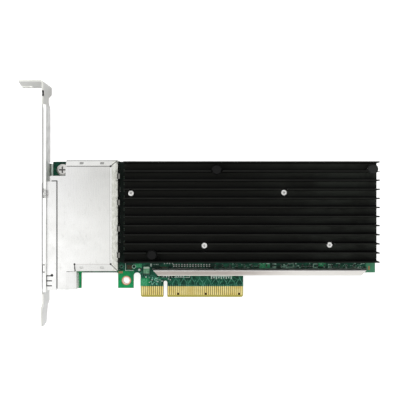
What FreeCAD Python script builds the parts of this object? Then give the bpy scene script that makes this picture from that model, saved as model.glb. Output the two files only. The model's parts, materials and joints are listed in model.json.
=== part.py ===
import FreeCAD, Part
import math
import os

# Network interface card: a low-profile board with an eight-lane edge connector, four modular
# jacks in one shielded block behind a full-height bracket, and one finned heat sink.
#
# Lengths are in millimetres. The origin lies in the middle of the key notch, on the tips of the
# edge contacts and on the board's mid-plane. +X runs along the card away from the bracket, +Y
# from the edge connector to the top edge, and +Z out of the component side.

Vector = FreeCAD.Vector

# ---------------------------------------------------------------- driving dimensions

# Board
board_thickness = 1.57
board_left = -57.15
board_right = 106.7
board_top = 68.9
board_lower_edge = 12.5
board_corner_radius = 0.6
left_foot_right = -42.8
left_foot_bottom = 4.6
ear_left = -24.1
ear_right = -16.2
ear_hole_x = -19.85
ear_hole_y = 8.46
ear_hole_radius = 1.5
hole_ring_width = 0.85

# Edge connector
contact_pitch = 1.0
contact_width = 0.7
contact_thickness = 0.05
contact_top = 5.5
contact_shortfall = 1.1
first_contact = 1.5
short_side_contacts = 11
long_side_contacts = 38
finger_margin = 1.1
finger_radius = 1.0
key_width = 1.9
key_height = 8.3
bevel_height = 1.1
bevel_depth = 0.4
presence_contacts = (5, 19, 36)

# Bracket
sheet = 0.86
bend_radius = 0.5
board_to_bracket = 1.9
bracket_bottom = -12.9
bracket_height = 121.1
bracket_width = 18.42
bracket_front_edge = 15.22
panel_bottom = 3.2
tab_width = 21.59
tab_depth = 11.43
tab_slant = 2.9
tab_relief_length = 3.2
tab_relief_depth = 5.2
head_length = 4.7
head_notch_depth = 7.4
head_notch_length = 2.3
head_slope = 2.6
screw_slot_width = 4.42
screw_slot_length = 6.6
screw_slot_from_edge = 2.6
edge_notch_length = 2.7
edge_notch_from_top = 6.5
flange_width = 2.2
flange_top_from_head = 12.0
flange_bottom = 4.3
flange_spring_width = 0.95
flange_spring_length = 3.8
flange_spring_rim = 0.35
flange_spring_places = (52.6, 15.9)
flange_slit = 0.4
tongue_far_inset = 2.4
tongue_near_inset = 1.3
tongue_far_straight = 6.2
tongue_far_taper = 3.8
tongue_near_straight = 9.0
tongue_near_taper = 1.7
tongue_tip_width = 4.0
tongue_tip_slant = 0.8
panel_corner = 1.0
jog_offset = 0.75
jog_length = 2.4
jog_rise = 11.3
bracket_ear_width = 6.6
bracket_ear_length = 9.6
bracket_ear_relief = 0.6
lower_ear_centre = 8.7
bracket_screw_inset = 4.95
screw_radius = 1.25
screw_head_radius = 2.95
screw_head_height = 1.6
screw_head_rim = 0.55
screw_crown_share = 0.72
screw_clearance = 0.15
screw_to_jacks = 0.45
screw_reach = 1.0
recess_width = 0.7
recess_length = 3.4
recess_depth = 0.8

# Modular jacks
port_count = 4
port_pitch = 13.05
port_floor = 1.9
port_width = 11.9
port_height = 6.9
port_depth = 14.0
latch_width = 6.4
latch_height = 1.6
latch_key_width = 3.2
latch_key_height = 1.1
shield_sheet = 0.3
shield_gap = 0.1
jack_low_side = 5.3
jack_top = 13.5
jack_eaves = 10.6
jack_shoulder = 3.0
jack_shoulder_front = -56.0
jack_step = -44.1
jack_foot_right = -43.6
jack_foot_slope = 4.4
jack_face_protrusion = 0.4
rear_left = -48.5
rear_right = -23.15
rear_low_side = 14.15
rear_wall = 2.1
rear_low_slope = 3.7
rear_high_slope = 3.1
rear_end_slope = 3.2
window_clearance = 0.35
seam_width = 0.26
seam_overrun = 0.25
seam_relief_radius = 0.45
dimple_length = 1.8
dimple_width = 1.1
dimple_depth = 0.15
dimple_places = (-40.8, -30.7)
shield_hook_width = 2.6
shield_hook_length = 1.0
shield_tab_width = 1.5
shield_tab_reach = 0.9
collar_thickness = 0.25
collar_gap = 0.15
collar_rear = -52.9
collar_shadow_gap = 0.45
collar_slot = 0.5
collar_slot_low = 7.0
collar_slot_high = 12.4
collar_slot_front = 1.05
collar_slot_length = 2.9
collar_slot_end_radius = 0.65
spring_pitch = 1.02
spring_count = 8
spring_width = 0.42
spring_thickness = 0.25
spring_rise = 2.3
spring_run = 7.6
spring_fold = 0.8
spring_end_gap = 1.0
lens_width = 2.6
lens_height = 1.9
lens_depth = 3.0
lens_from_port_top = 0.5
module_first = 22.05
module_width = 11.6
module_front = -43.0
module_rear = -26.6
module_height = 8.6
module_clearance = 0.1
pin_columns = 5
pin_pitch = 2.2
pin_size = 0.5
pin_hole_width = 0.9
pin_reach = 1.0
pin_row_inset = 2.0
peg_radius = 1.6
peg_clearance = 0.1
peg_x = -49.5

# Heat sink
sink_left = -20.3
sink_right = 106.3
sink_low_side = 18.3
sink_high_side = 68.6
sink_standoff = 2.9
sink_base = 2.1
fin_count = 12
fin_thickness = 0.75
fin_tip_thickness = 0.6
fin_height = 7.0
stud_places = ((-17.0, 52.75), (19.8, 26.55), (59.7, 53.1), (82.55, 26.9))
stud_radius = 1.1
stud_head_radius = 1.4
stud_head_height = 1.0
stud_collar_width = 3.8
stud_clearance = 0.15
stud_tail = 0.7
stud_fin_clearance = 0.7
push_pin_places = ((103.5, 64.8), (25.9, 64.5), (-6.35, 22.0))
push_pin_radius = 1.5
push_pin_head_radius = 2.6
push_pin_head_height = 1.6
push_pin_clearance = 0.15
push_pin_barb = 2.6
push_pin_edge = 0.5
push_pin_fin_clearance = 0.4
spring_wire = 0.5
spring_turns = 3
spring_sections_per_turn = 8
spring_wire_sides = 4
spring_height = 3.6
thermal_pad_thickness = 0.4

# Chips under the heat sink
phy_size = 25.0
controller_size = 21.0
chip_shoulder = 2.0
chip_base_height = 0.8
chip_height = 2.0
chip_draft = 0.4
phy_centre = (1.4, 39.65)
controller_centre = (71.1, 40.0)

# Stiffener bar
bar_left = -6.6
bar_right = 101.9
bar_low_side = 11.2
bar_high_side = 14.7
bar_height = 5.0
bar_sheet = 0.8
bar_bend_radius = 0.35
bar_lip = 1.6
bar_end_slope = 3.2
bar_tab_count = 4
bar_tab_width = 2.4
bar_tab_reach = 0.8
bar_tab_clearance = 0.15

# Small components on the board, each size as length, width and height
capacitor_size = (1.1, 0.6, 0.6)
resistor_size = (1.1, 0.6, 0.4)
inductor_size = (6.0, 6.0, 2.4)
regulator_size = (3.0, 4.0, 1.0)
crystal_size = (3.2, 2.5, 0.8)
memory_size = (5.2, 5.3, 1.8)
dense_row_left = 4.2
dense_row_pitch = 1.4
dense_row_count = 14
sparse_row_left = 25.4
sparse_row_pitch = 3.7
sparse_row_count = 20
strip_row_gap = 2.2
edge_column_low = 24.6
edge_column_pitch = 3.3
edge_column_count = 13
edge_column_gap = 0.6
supply_centre = (36.0, 38.0)
supply_pitch = 8.0
supply_phases = 3
supply_row_gap = 2.0
supply_near_fingers = (-9.6, 13.6)
crystal_place = (50.5, 26.0)
memory_place = (95.0, 28.0)
back_grid_pitch = 4.0
back_grid_count = 4

# ---------------------------------------------------------------- places worked out from them

board_front = board_thickness / 2
board_back = -board_thickness / 2
bracket_inner = board_left - board_to_bracket
bracket_outer = bracket_inner - sheet
bracket_top = bracket_bottom + bracket_height
bracket_near_z = board_front + bracket_front_edge
bracket_far_z = bracket_near_z - bracket_width
tab_far_z = bracket_near_z - tab_width
screw_x = board_left + bracket_screw_inset
jack_front = bracket_outer - jack_face_protrusion
snout_high_side = jack_low_side + port_count * port_pitch + 2 * (shield_sheet + shield_gap)
jack_high_side = snout_high_side + jack_shoulder
upper_ear_centre = jack_high_side + screw_to_jacks + screw_head_radius
rear_high_side = module_first + (port_count - 1) * port_pitch + module_width / 2 + rear_wall
sink_base_bottom = board_front + sink_standoff
sink_base_top = sink_base_bottom + sink_base
long_finger_end = first_contact + (long_side_contacts - 1) * contact_pitch + finger_margin
short_finger_end = -(first_contact + (short_side_contacts - 1) * contact_pitch + finger_margin)
large_chips = ((phy_centre, phy_size), (controller_centre, controller_size))


# How far a cutting shape reaches past what it cuts, and the sides of what is covered
overrun = 1.0
shank_sides = 8

# ---------------------------------------------------------------- general shapes

def block(x, y, z):
    """Rectangular block between the low and high value of each pair."""
    return Part.makeBox(x[1] - x[0], y[1] - y[0], z[1] - z[0], Vector(x[0], y[0], z[0]))


def centred(centre, length):
    """Low and high value of a length set evenly about its centre."""
    return (centre - length / 2, centre + length / 2)


def post(x, y, radius, z):
    """Upright cylinder between two heights."""
    return Part.makeCylinder(radius, z[1] - z[0], Vector(x, y, z[0]))


def sided_ring(x, y, reach, sides, z):
    """Corners of a level polygon whose flat sides lie at a given reach from its centre."""
    corner = reach / math.cos(math.pi / sides)
    points = []
    for i in range(sides):
        angle = 2 * math.pi * (i + 0.5) / sides
        points.append(Vector(x + corner * math.cos(angle), y + corner * math.sin(angle), z))
    return points


def sided_post(x, y, reach, sides, z):
    """Upright prism with flat sides, each at a given reach from its axis."""
    return prism(sided_ring(x, y, reach, sides, z[0]), Vector(0, 0, z[1] - z[0]))


def shank(x, y, reach, z):
    """Covered shank, or the hole for one, kept eight-sided so that the model stays light."""
    return sided_post(x, y, reach, shank_sides, z)


def sided_taper(x, y, reaches, z):
    """Eight-sided taper between two reaches at two heights."""
    wires = []
    for reach, level in zip(reaches, z):
        points = sided_ring(x, y, reach, shank_sides, level)
        wires.append(Part.makePolygon(points + points[:1]))
    return Part.makeLoft(wires, True, True)


def rectangle(sides, z):
    """Level rectangle over (x0, x1, y0, y1)."""
    x0, x1, y0, y1 = sides
    corners = [Vector(x0, y0, z), Vector(x1, y0, z), Vector(x1, y1, z), Vector(x0, y1, z)]
    return Part.makePolygon(corners + corners[:1])


def unite(shapes):
    """One solid from shapes that touch or overlap."""
    return shapes[0].multiFuse(shapes[1:]).removeSplitter()


def prism(points, along):
    """Flat outline of corner points, pushed along a vector."""
    return Part.Face(Part.makePolygon(points + points[:1])).extrude(along)


def rounded_plate(corners, z):
    """Plate between two heights, with (x, y, radius) corners; radius 0 leaves one sharp."""
    edges = []
    first = None
    last = None
    count = len(corners)
    for i in range(count):
        here = Vector(corners[i][0], corners[i][1], z[0])
        before = Vector(corners[i - 1][0], corners[i - 1][1], z[0])
        after = Vector(corners[(i + 1) % count][0], corners[(i + 1) % count][1], z[0])
        radius = corners[i][2]
        start = here
        end = here
        arc = None
        if radius > 0:
            back = (before - here).normalize()
            ahead = (after - here).normalize()
            half = back.getAngle(ahead) / 2
            start = here + back * (radius / math.tan(half))
            end = here + ahead * (radius / math.tan(half))
            centre = here + (back + ahead).normalize() * (radius / math.sin(half))
            middle = centre + (here - centre).normalize() * radius
            arc = Part.Arc(start, middle, end).toShape()
        if last is not None and last.distanceToPoint(start) > 1e-6:
            edges.append(Part.makeLine(last, start))
        if arc is not None:
            edges.append(arc)
        if first is None:
            first = start
        last = end
    if last.distanceToPoint(first) > 1e-6:
        edges.append(Part.makeLine(last, first))
    return Part.Face(Part.Wire(edges)).extrude(Vector(0, 0, z[1] - z[0]))


def folded_strip(path, thickness, inner_radius, normal, width):
    """Bent sheet: straight runs along its middle line, concentric bends, pushed along normal."""
    half = thickness / 2
    bend = inner_radius + half
    sides = []
    for offset in (half, -half):
        edges = []
        ahead = (path[1] - path[0]).normalize()
        last = path[0] + normal.cross(ahead) * offset
        for i in range(1, len(path) - 1):
            ahead = (path[i] - path[i - 1]).normalize()
            onward = (path[i + 1] - path[i]).normalize()
            turn = ahead.getAngle(onward)
            reach = bend * math.tan(turn / 2)
            start = path[i] - ahead * reach + normal.cross(ahead) * offset
            end = path[i] + onward * reach + normal.cross(onward) * offset
            centre = path[i] + (onward - ahead).normalize() * (bend / math.cos(turn / 2))
            middle = centre + (path[i] - centre).normalize() * start.distanceToPoint(centre)
            edges.append(Part.makeLine(last, start))
            edges.append(Part.Arc(start, middle, end).toShape())
            last = end
        finish = path[-1] + normal.cross(onward) * offset
        edges.append(Part.makeLine(last, finish))
        sides.append((edges, edges[0].Vertexes[0].Point, finish))
    cap_start = Part.makeLine(sides[0][1], sides[1][1])
    cap_end = Part.makeLine(sides[0][2], sides[1][2])
    outline = Part.Wire(Part.__sortEdges__(sides[0][0] + [cap_end] + sides[1][0] + [cap_start]))
    return Part.Face(outline).extrude(normal * width)


def turned(profile, x, y):
    """Solid of revolution about an upright axis, from (radius, height) corners."""
    points = [Vector(x + radius, y, height) for radius, height in profile]
    face = Part.Face(Part.makePolygon(points + points[:1]))
    return face.revolve(Vector(x, y, 0), Vector(0, 0, 1), 360)


# ---------------------------------------------------------------- board

def board_outline():
    """Corners of the board, from the left foot round by the fingers to the top edge."""
    slot = (short_finger_end - ear_right) / 2
    key = key_width / 2
    return [
        (board_left, left_foot_bottom, board_corner_radius),
        (left_foot_right, left_foot_bottom, 0),
        (left_foot_right, board_lower_edge, board_corner_radius),
        (ear_left, board_lower_edge, board_corner_radius),
        (ear_left, left_foot_bottom, 0),
        (ear_right, left_foot_bottom, 0),
        (ear_right, board_lower_edge, slot),
        (short_finger_end, board_lower_edge, slot),
        (short_finger_end, 0, finger_radius),
        (-key, 0, finger_radius / 2),
        (-key, key_height, key),
        (key, key_height, key),
        (key, 0, finger_radius / 2),
        (long_finger_end, 0, finger_radius),
        (long_finger_end, board_lower_edge, 0),
        (board_right, board_lower_edge, 0),
        (board_right, board_top, 0),
        (board_left, board_top, 0),
    ]


def bevel_cut(side):
    """Wedge that bevels the tips of the fingers on one side of the board."""
    face = side * board_thickness / 2
    outside = side * board_thickness
    start = short_finger_end - overrun
    points = [
        Vector(start, bevel_height, face),
        Vector(start, 0, face - side * bevel_depth),
        Vector(start, -overrun, face - side * bevel_depth),
        Vector(start, -overrun, outside),
        Vector(start, bevel_height, outside),
    ]
    return prism(points, Vector(long_finger_end - start + overrun, 0, 0))


def module_centres():
    """Middle of each magnetics module across the card."""
    return [module_first + i * port_pitch for i in range(port_count)]


def pin_places():
    """Places of the jack's solder pins: two rows under each magnetics module."""
    places = []
    for centre in module_centres():
        for i in range(pin_columns):
            y = centre + (i - (pin_columns - 1) / 2) * pin_pitch
            places.append((module_front + pin_row_inset, y))
            places.append((module_rear - pin_row_inset, y))
    return places


def port_centres():
    """Middle of each port across the card."""
    first = jack_low_side + shield_sheet + shield_gap + port_pitch / 2
    return [first + i * port_pitch for i in range(port_count)]


def peg_places():
    """Locating pegs under the walls next to the first and last port."""
    centres = port_centres()
    half = port_pitch / 2
    return [(peg_x, centres[0] + half), (peg_x, centres[-1] - half)]


def shield_tab_places():
    """(x, y) middles and (x, y) sizes of the shield's solder tabs."""
    wall = shield_sheet / 2
    places = []
    for x in dimple_places:
        places.append(((x, rear_low_side + wall), (shield_tab_width, shield_sheet)))
    for gap in (0, port_count - 2):
        y = module_first + (gap + 0.5) * port_pitch
        places.append(((rear_right - wall, y), (shield_sheet, shield_tab_width)))
    return places


def bar_tab_centres():
    """Middles of the stiffener bar's solder tabs along the card."""
    first = bar_left + 2 * bar_end_slope
    last = bar_right - 2 * bar_end_slope
    step = (last - first) / (bar_tab_count - 1)
    return [first + i * step for i in range(bar_tab_count)]


def board_holes():
    """Every hole and slot through the board."""
    through = (board_back - overrun, board_front + overrun)
    holes = [post(ear_hole_x, ear_hole_y, ear_hole_radius, through)]
    for y in (upper_ear_centre, lower_ear_centre):
        holes.append(shank(screw_x, y, screw_radius + screw_clearance, through))
    for x, y in pin_places():
        holes.append(block(centred(x, pin_hole_width), centred(y, pin_hole_width), through))
    for x, y in peg_places():
        holes.append(shank(x, y, peg_radius + peg_clearance, through))
    for x, y in stud_places:
        holes.append(shank(x, y, stud_radius + stud_clearance, through))
    for x, y in push_pin_places:
        holes.append(shank(x, y, push_pin_radius + push_pin_clearance, through))
    for middle, size in shield_tab_places():
        x = centred(middle[0], size[0] + 2 * bar_tab_clearance)
        y = centred(middle[1], size[1] + 2 * bar_tab_clearance)
        holes.append(block(x, y, through))
    for centre in bar_tab_centres():
        x = centred(centre, bar_tab_width + 2 * bar_tab_clearance)
        y = centred(bar_high_side - bar_sheet / 2, bar_sheet + 2 * bar_tab_clearance)
        holes.append(block(x, y, through))
    return holes


def circuit_board():
    plate = rounded_plate(board_outline(), (board_back, board_front))
    cuts = board_holes() + [bevel_cut(1), bevel_cut(-1)]
    return plate.cut(Part.makeCompound(cuts))


def edge_contacts(side):
    """Gold contacts on one side; the presence contacts stop short of the others."""
    face = board_front if side > 0 else board_back - contact_thickness
    pads = []
    for i in range(long_side_contacts):
        bottom = bevel_height
        if i in presence_contacts:
            bottom = bevel_height + contact_shortfall
        x = centred(first_contact + i * contact_pitch, contact_width)
        pads.append(block(x, (bottom, contact_top), (face, face + contact_thickness)))
    for i in range(short_side_contacts):
        x = centred(-first_contact - i * contact_pitch, contact_width)
        pads.append(block(x, (bevel_height, contact_top), (face, face + contact_thickness)))
    return Part.makeCompound(pads)


def ear_hole_rings():
    """Flat copper ring round the mounting hole on each face of the board."""
    rings = []
    for z in ((board_front, board_front + contact_thickness),
              (board_back - contact_thickness, board_back)):
        ring = post(ear_hole_x, ear_hole_y, ear_hole_radius + hole_ring_width, z)
        rings.append(ring.cut(post(ear_hole_x, ear_hole_y, ear_hole_radius, z)))
    return Part.makeCompound(rings)


# ---------------------------------------------------------------- bracket

def bracket_ribbon():
    """The whole sheet bent seen edge-on: tab, panel, jog and tongue, wide enough to trim."""
    middle = bracket_inner - sheet / 2
    tongue_x = middle - jog_offset
    jog_start = bracket_bottom + jog_rise
    path = [
        Vector(bracket_outer - tab_depth - tab_slant, bracket_top - sheet / 2, tab_far_z),
        Vector(middle, bracket_top - sheet / 2, tab_far_z),
        Vector(middle, jog_start, tab_far_z),
        Vector(tongue_x, jog_start - jog_length, tab_far_z),
        Vector(tongue_x, bracket_bottom, tab_far_z),
    ]
    return folded_strip(path, sheet, bend_radius, Vector(0, 0, 1), tab_width)


def panel_outline():
    """Flat outline of head, panel and tongue in the YZ plane, pushed through the sheet."""
    notch_z = tab_far_z + head_notch_depth
    head_low = bracket_top - head_length
    notch_high = head_low - head_slope
    notch_low = notch_high - head_notch_length
    tongue_far = bracket_far_z + tongue_far_inset
    tongue_near = bracket_near_z - tongue_near_inset
    tip_near = tongue_near - tongue_near_taper
    outline = [
        (bracket_top + overrun, bracket_near_z),
        (bracket_top + overrun, tab_far_z),
        (head_low, tab_far_z),
        (notch_high, notch_z),
        (notch_low, notch_z),
        (notch_low - head_slope, bracket_far_z),
        (panel_bottom, bracket_far_z),
        (panel_bottom, tongue_far),
        (panel_bottom - tongue_far_straight, tongue_far),
        (bracket_bottom + tongue_tip_slant, tongue_far + tongue_far_taper),
        (bracket_bottom, tip_near - tongue_tip_width),
        (bracket_bottom, tip_near),
        (panel_bottom - tongue_near_straight, tongue_near),
        (panel_bottom, tongue_near),
        (panel_bottom, bracket_near_z - panel_corner),
        (panel_bottom + panel_corner, bracket_near_z),
    ]
    left = bracket_outer - jog_offset - sheet
    points = [Vector(left, y, z) for y, z in outline]
    return prism(points, Vector(bracket_inner + sheet - left, 0, 0))


def tab_outline():
    """Flat outline of the tab in the XZ plane: slanted end, screw slot and bend relief."""
    near_end = bracket_outer - tab_depth
    far_end = near_end - tab_slant
    y = bracket_top - sheet - overrun
    height = sheet + 2 * overrun
    up = Vector(0, height, 0)
    root = bracket_outer - bend_radius
    plate = prism([
        Vector(root, y, bracket_near_z), Vector(near_end, y, bracket_near_z),
        Vector(far_end, y, tab_far_z), Vector(root, y, tab_far_z),
    ], up)
    slot_z = tab_far_z + screw_slot_from_edge + screw_slot_width / 2
    slot_end = far_end + screw_slot_length - screw_slot_width / 2
    slot = block((far_end - overrun, slot_end), (y, y + height), centred(slot_z, screw_slot_width))
    slot_round = Part.makeCylinder(screw_slot_width / 2, height, Vector(slot_end, y, slot_z),
                                   Vector(0, 1, 0))
    relief = block((root - tab_relief_length, root + overrun), (y, y + height),
                   (tab_far_z - overrun, tab_far_z + tab_relief_depth))
    return plate.cut(slot.fuse(slot_round)).cut(relief)


def bracket_ear(centre):
    """Ear folded from the far edge of the panel to lie under the board."""
    middle = bracket_inner - sheet / 2
    y = centre - bracket_ear_width / 2
    level = board_back - sheet / 2
    path = [
        Vector(middle, y, board_front - window_clearance),
        Vector(middle, y, level),
        Vector(bracket_inner + bracket_ear_length, y, level),
    ]
    return folded_strip(path, sheet, bend_radius, Vector(0, 1, 0), bracket_ear_width)


def flange_span():
    """Lower and upper end of the flange along the near edge of the panel."""
    return (flange_bottom, bracket_top - flange_top_from_head)


def edge_flange():
    """Flange folded inwards along the near edge of the panel, slit round two spring tabs."""
    low, high = flange_span()
    middle = bracket_inner - sheet / 2
    level = bracket_near_z - sheet / 2
    path = [
        Vector(bracket_outer + flange_width, low, level),
        Vector(middle, low, level),
        Vector(middle, low, bracket_near_z - 2 * sheet - bend_radius),
    ]
    flange = folded_strip(path, sheet, bend_radius, Vector(0, 1, 0), high - low)
    right = bracket_outer + flange_width - flange_spring_rim
    left = right - flange_spring_width
    z = (bracket_near_z - 2 * sheet, bracket_near_z + overrun)
    slits = []
    for y in flange_spring_places:
        around = block((left - flange_slit, right),
                       centred(y, flange_spring_length + 2 * flange_slit), z)
        slits.append(around.cut(block((left, right), centred(y, flange_spring_length), z)))
    return flange.cut(Part.makeCompound(slits))


def jack_window():
    """Opening of the panel that the jacks' front passes through."""
    y = (jack_low_side - window_clearance, snout_high_side + window_clearance)
    z = (board_front - window_clearance, board_front + jack_top + window_clearance)
    return block((bracket_outer - overrun, bracket_inner + overrun), y, z)


def mounting_bracket():
    ribbon = bracket_ribbon()
    across = (bracket_outer - overrun, bracket_inner + overrun)
    bend_zone = block((bracket_outer - bend_radius, bracket_inner + overrun),
                      (bracket_top - sheet - bend_radius - overrun, bracket_top + overrun),
                      (tab_far_z, bracket_near_z))
    shape = ribbon.common(panel_outline().fuse([tab_outline(), bend_zone]))
    trims = [block(across, flange_span(), (bracket_near_z - sheet - bend_radius, bracket_near_z))]
    for centre in (upper_ear_centre, lower_ear_centre):
        y = centred(centre, bracket_ear_width + 2 * bracket_ear_relief)
        trims.append(block(across, y, (bracket_far_z - overrun, board_back + bend_radius)))
    shape = shape.cut(Part.makeCompound(trims))
    shape = unite([shape, edge_flange(), bracket_ear(upper_ear_centre),
                   bracket_ear(lower_ear_centre)])
    cuts = [jack_window()]
    for y in (upper_ear_centre, lower_ear_centre):
        z = (board_back - sheet - overrun, board_back + overrun)
        cuts.append(shank(screw_x, y, screw_radius + screw_clearance, z))
    notch_y = bracket_top - edge_notch_from_top
    cuts.append(Part.makeCylinder(edge_notch_length / 2, sheet + 2 * overrun,
                                  Vector(bracket_outer - overrun, notch_y, bracket_near_z),
                                  Vector(1, 0, 0)))
    return shape.cut(Part.makeCompound(cuts))


def pan_screw(x, y, seat, tip):
    """Pan-head screw with a cross recess; its head lies beyond seat, away from tip."""
    out = 1 if seat > tip else -1
    crown = seat + out * screw_head_height
    profile = [
        (0, tip), (screw_radius, tip), (screw_radius, seat), (screw_head_radius, seat),
        (screw_head_radius, seat + out * screw_head_height * screw_head_rim),
        (screw_head_radius * screw_crown_share, crown), (0, crown),
    ]
    floor = crown - out * recess_depth
    z = (min(floor, crown + out), max(floor, crown + out))
    recess = block(centred(x, recess_length), centred(y, recess_width), z)
    recess = recess.fuse(block(centred(x, recess_width), centred(y, recess_length), z))
    return turned(profile, x, y).cut(recess)


def bracket_screws():
    """Upper screw from the component side, lower one from beneath into the jack housing."""
    upper = pan_screw(screw_x, upper_ear_centre, board_front, board_back - sheet - screw_reach)
    lower = pan_screw(screw_x, lower_ear_centre, board_back - sheet, board_front + screw_reach)
    return Part.makeCompound([upper, lower])


# ---------------------------------------------------------------- modular jacks

def roofed_block(base, roof, bottom, eaves, top):
    """Block over (x0, x1, y0, y1): upright to the eaves, then sloping in to a flat roof."""
    walls = block(base[:2], base[2:], (bottom, eaves))
    slopes = Part.makeLoft([rectangle(base, eaves), rectangle(roof, top)], True, True)
    return walls.fuse(slopes)


def snout_block(inset, front, rear):
    """Front of the jacks, which passes through the bracket; inset moves every face inwards."""
    return block((front, rear), (jack_low_side + inset, snout_high_side - inset),
                 (board_front, board_front + jack_top - inset))


def shoulder_block(inset):
    """Flat-roofed middle of the jacks, a little wider than the snout."""
    return block((jack_shoulder_front + inset, jack_step - inset),
                 (rear_low_side + inset, jack_high_side - inset),
                 (board_front, board_front + jack_top - inset))


def foot_block(inset):
    """Low end of the jacks on the board's left foot, with a slope towards the heat sink."""
    right = jack_foot_right - inset
    y = (jack_low_side + inset, rear_low_side + inset + overrun)
    base = (jack_shoulder_front, right) + y
    roof = (jack_shoulder_front, right - jack_foot_slope) + y
    return roofed_block(base, roof, board_front, board_front + jack_eaves - inset / 2,
                        board_front + jack_top - inset)


def rear_block(inset):
    """Rear part of the jacks, which holds the magnetics, set over towards the top edge."""
    base = (rear_left + inset, rear_right - inset, rear_low_side + inset, rear_high_side - inset)
    roof = (rear_left + inset, rear_right - rear_end_slope - inset,
            rear_low_side + rear_low_slope + inset, rear_high_side - rear_high_slope - inset)
    return roofed_block(base, roof, board_front, board_front + jack_eaves - inset / 2,
                        board_front + jack_top - inset)


def jack_block(inset, front):
    snout = snout_block(inset, front, jack_shoulder_front + overrun)
    return unite([snout, shoulder_block(inset), foot_block(inset), rear_block(inset)])


def seam(start, end):
    """Upright slit along a line in plan, where two folded flaps meet."""
    run = end - start
    across = Vector(-run.y, run.x, 0).normalize() * (seam_width / 2)
    points = [start - across, end - across, end + across, start + across]
    return prism(points, Vector(0, 0, jack_top + overrun))


def shield_seams():
    """Seams between the folded flaps, with a round relief where the mitres start."""
    inner_x = rear_right - rear_end_slope
    foot_x = jack_foot_right - jack_foot_slope
    low = rear_low_side + rear_low_slope
    high = rear_high_side - rear_high_slope
    z = board_front + shield_tab_reach
    outer_x = rear_right + seam_overrun
    lines = [
        ((rear_left, high), (inner_x, high)),
        ((inner_x, high), (outer_x, rear_high_side + seam_overrun)),
        ((inner_x, low), (outer_x, rear_low_side - seam_overrun)),
        ((jack_step, low), (jack_step, rear_low_side)),
        ((jack_step, rear_low_side), (foot_x, rear_low_side)),
    ]
    cuts = [seam(Vector(start[0], start[1], z), Vector(end[0], end[1], z)) for start, end in lines]
    over_roof = (board_front + jack_eaves, board_front + jack_top + overrun)
    for x, y in ((inner_x, high), (inner_x, low), (jack_step, low)):
        cuts.append(shank(x, y, seam_relief_radius, over_roof))
    behind = collar_rear + collar_shadow_gap
    beside = snout_high_side + collar_thickness
    cuts.append(block((collar_rear, behind), (jack_low_side + 2 * shield_sheet, beside), over_roof))
    cuts.append(block((jack_shoulder_front + 2 * shield_sheet, behind),
                      (beside, beside + collar_shadow_gap), over_roof))
    return cuts


def shield_dimples():
    """Shallow oblong dimples on both long slopes of the roof."""
    rise = jack_top - jack_eaves
    dimples = []
    for side, edge, slope in ((1, rear_high_side, rear_high_slope),
                              (-1, rear_low_side, rear_low_slope)):
        angle = math.degrees(math.atan2(rise, slope))
        y = edge - side * slope / 2
        z = board_front + (jack_eaves + jack_top) / 2
        for x in dimple_places:
            dimple = block(centred(x, dimple_length), centred(y, dimple_width),
                           (z - dimple_depth, z + overrun))
            dimple.rotate(Vector(x, y, z), Vector(1, 0, 0), -side * angle)
            dimples.append(dimple)
    return dimples


def collar_slots():
    """Three slots joined by a fourth, which free two spring fingers by the bracket."""
    front = bracket_inner + collar_slot_front
    z = (board_front + jack_eaves, board_front + jack_top + overrun)
    cuts = [block((front, front + collar_slot), (collar_slot_low, collar_slot_high), z)]
    for i in range(3):
        low = collar_slot_low + i * (collar_slot_high - collar_slot_low - collar_slot) / 2
        cuts.append(block((front, front + collar_slot_length), (low, low + collar_slot), z))
    cuts.append(post(front + collar_slot_length, collar_slot_high, collar_slot_end_radius, z))
    return cuts


def jack_shield():
    """Folded tin sheet over the jacks, with solder tabs and small hooks along its rear eaves."""
    shell = jack_block(0, bracket_outer).cut(jack_block(shield_sheet, bracket_outer - overrun))
    parts = [shell]
    eaves = board_front + jack_eaves
    for centre in module_centres():
        parts.append(block((rear_right - shield_sheet, rear_right + shield_hook_length),
                           centred(centre, shield_hook_width), (eaves - shield_sheet, eaves)))
    for middle, size in shield_tab_places():
        parts.append(block(centred(middle[0], size[0]), centred(middle[1], size[1]),
                           (board_back - shield_tab_reach, board_front + overrun)))
    cuts = shield_seams() + shield_dimples() + collar_slots()
    return unite(parts).cut(Part.makeCompound(cuts))


def jack_front_collar():
    """Second sheet wrapped over the snout and the front of the shield's roof."""
    front = bracket_inner + collar_gap
    outer = snout_block(-collar_thickness, front, collar_rear)
    return outer.cut(Part.makeCompound([jack_block(0, front - overrun)] + collar_slots()))


def port_cavity(centre):
    """Socket for a modular plug, with the stepped slot for its latch on top."""
    back = jack_front + port_depth
    x = (jack_front - overrun, back)
    low = board_front + port_floor
    latch = low + port_height
    key = latch + latch_height
    return unite([
        block(x, centred(centre, port_width), (low, latch)),
        block(x, centred(centre, latch_width), (latch - overrun, key)),
        block(x, centred(centre, latch_key_width), (key - overrun, key + latch_key_height)),
    ])


def lens_blocks():
    """Two status lenses over each port, one each side of the latch slot."""
    z = board_front + port_floor + port_height + lens_from_port_top
    offset = (latch_width + port_width) / 4
    blocks = []
    for centre in port_centres():
        for side in (-1, 1):
            blocks.append(block((jack_front, jack_front + lens_depth),
                                centred(centre + side * offset, lens_width), (z, z + lens_height)))
    return blocks


def magnetics_block(centre, clearance):
    """Potted magnetics module of one port, or with a clearance the pocket that holds it."""
    x = (module_front - clearance, module_rear + clearance)
    y = centred(centre, module_width + 2 * clearance)
    return block(x, y, (board_front, board_front + module_height))


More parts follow.
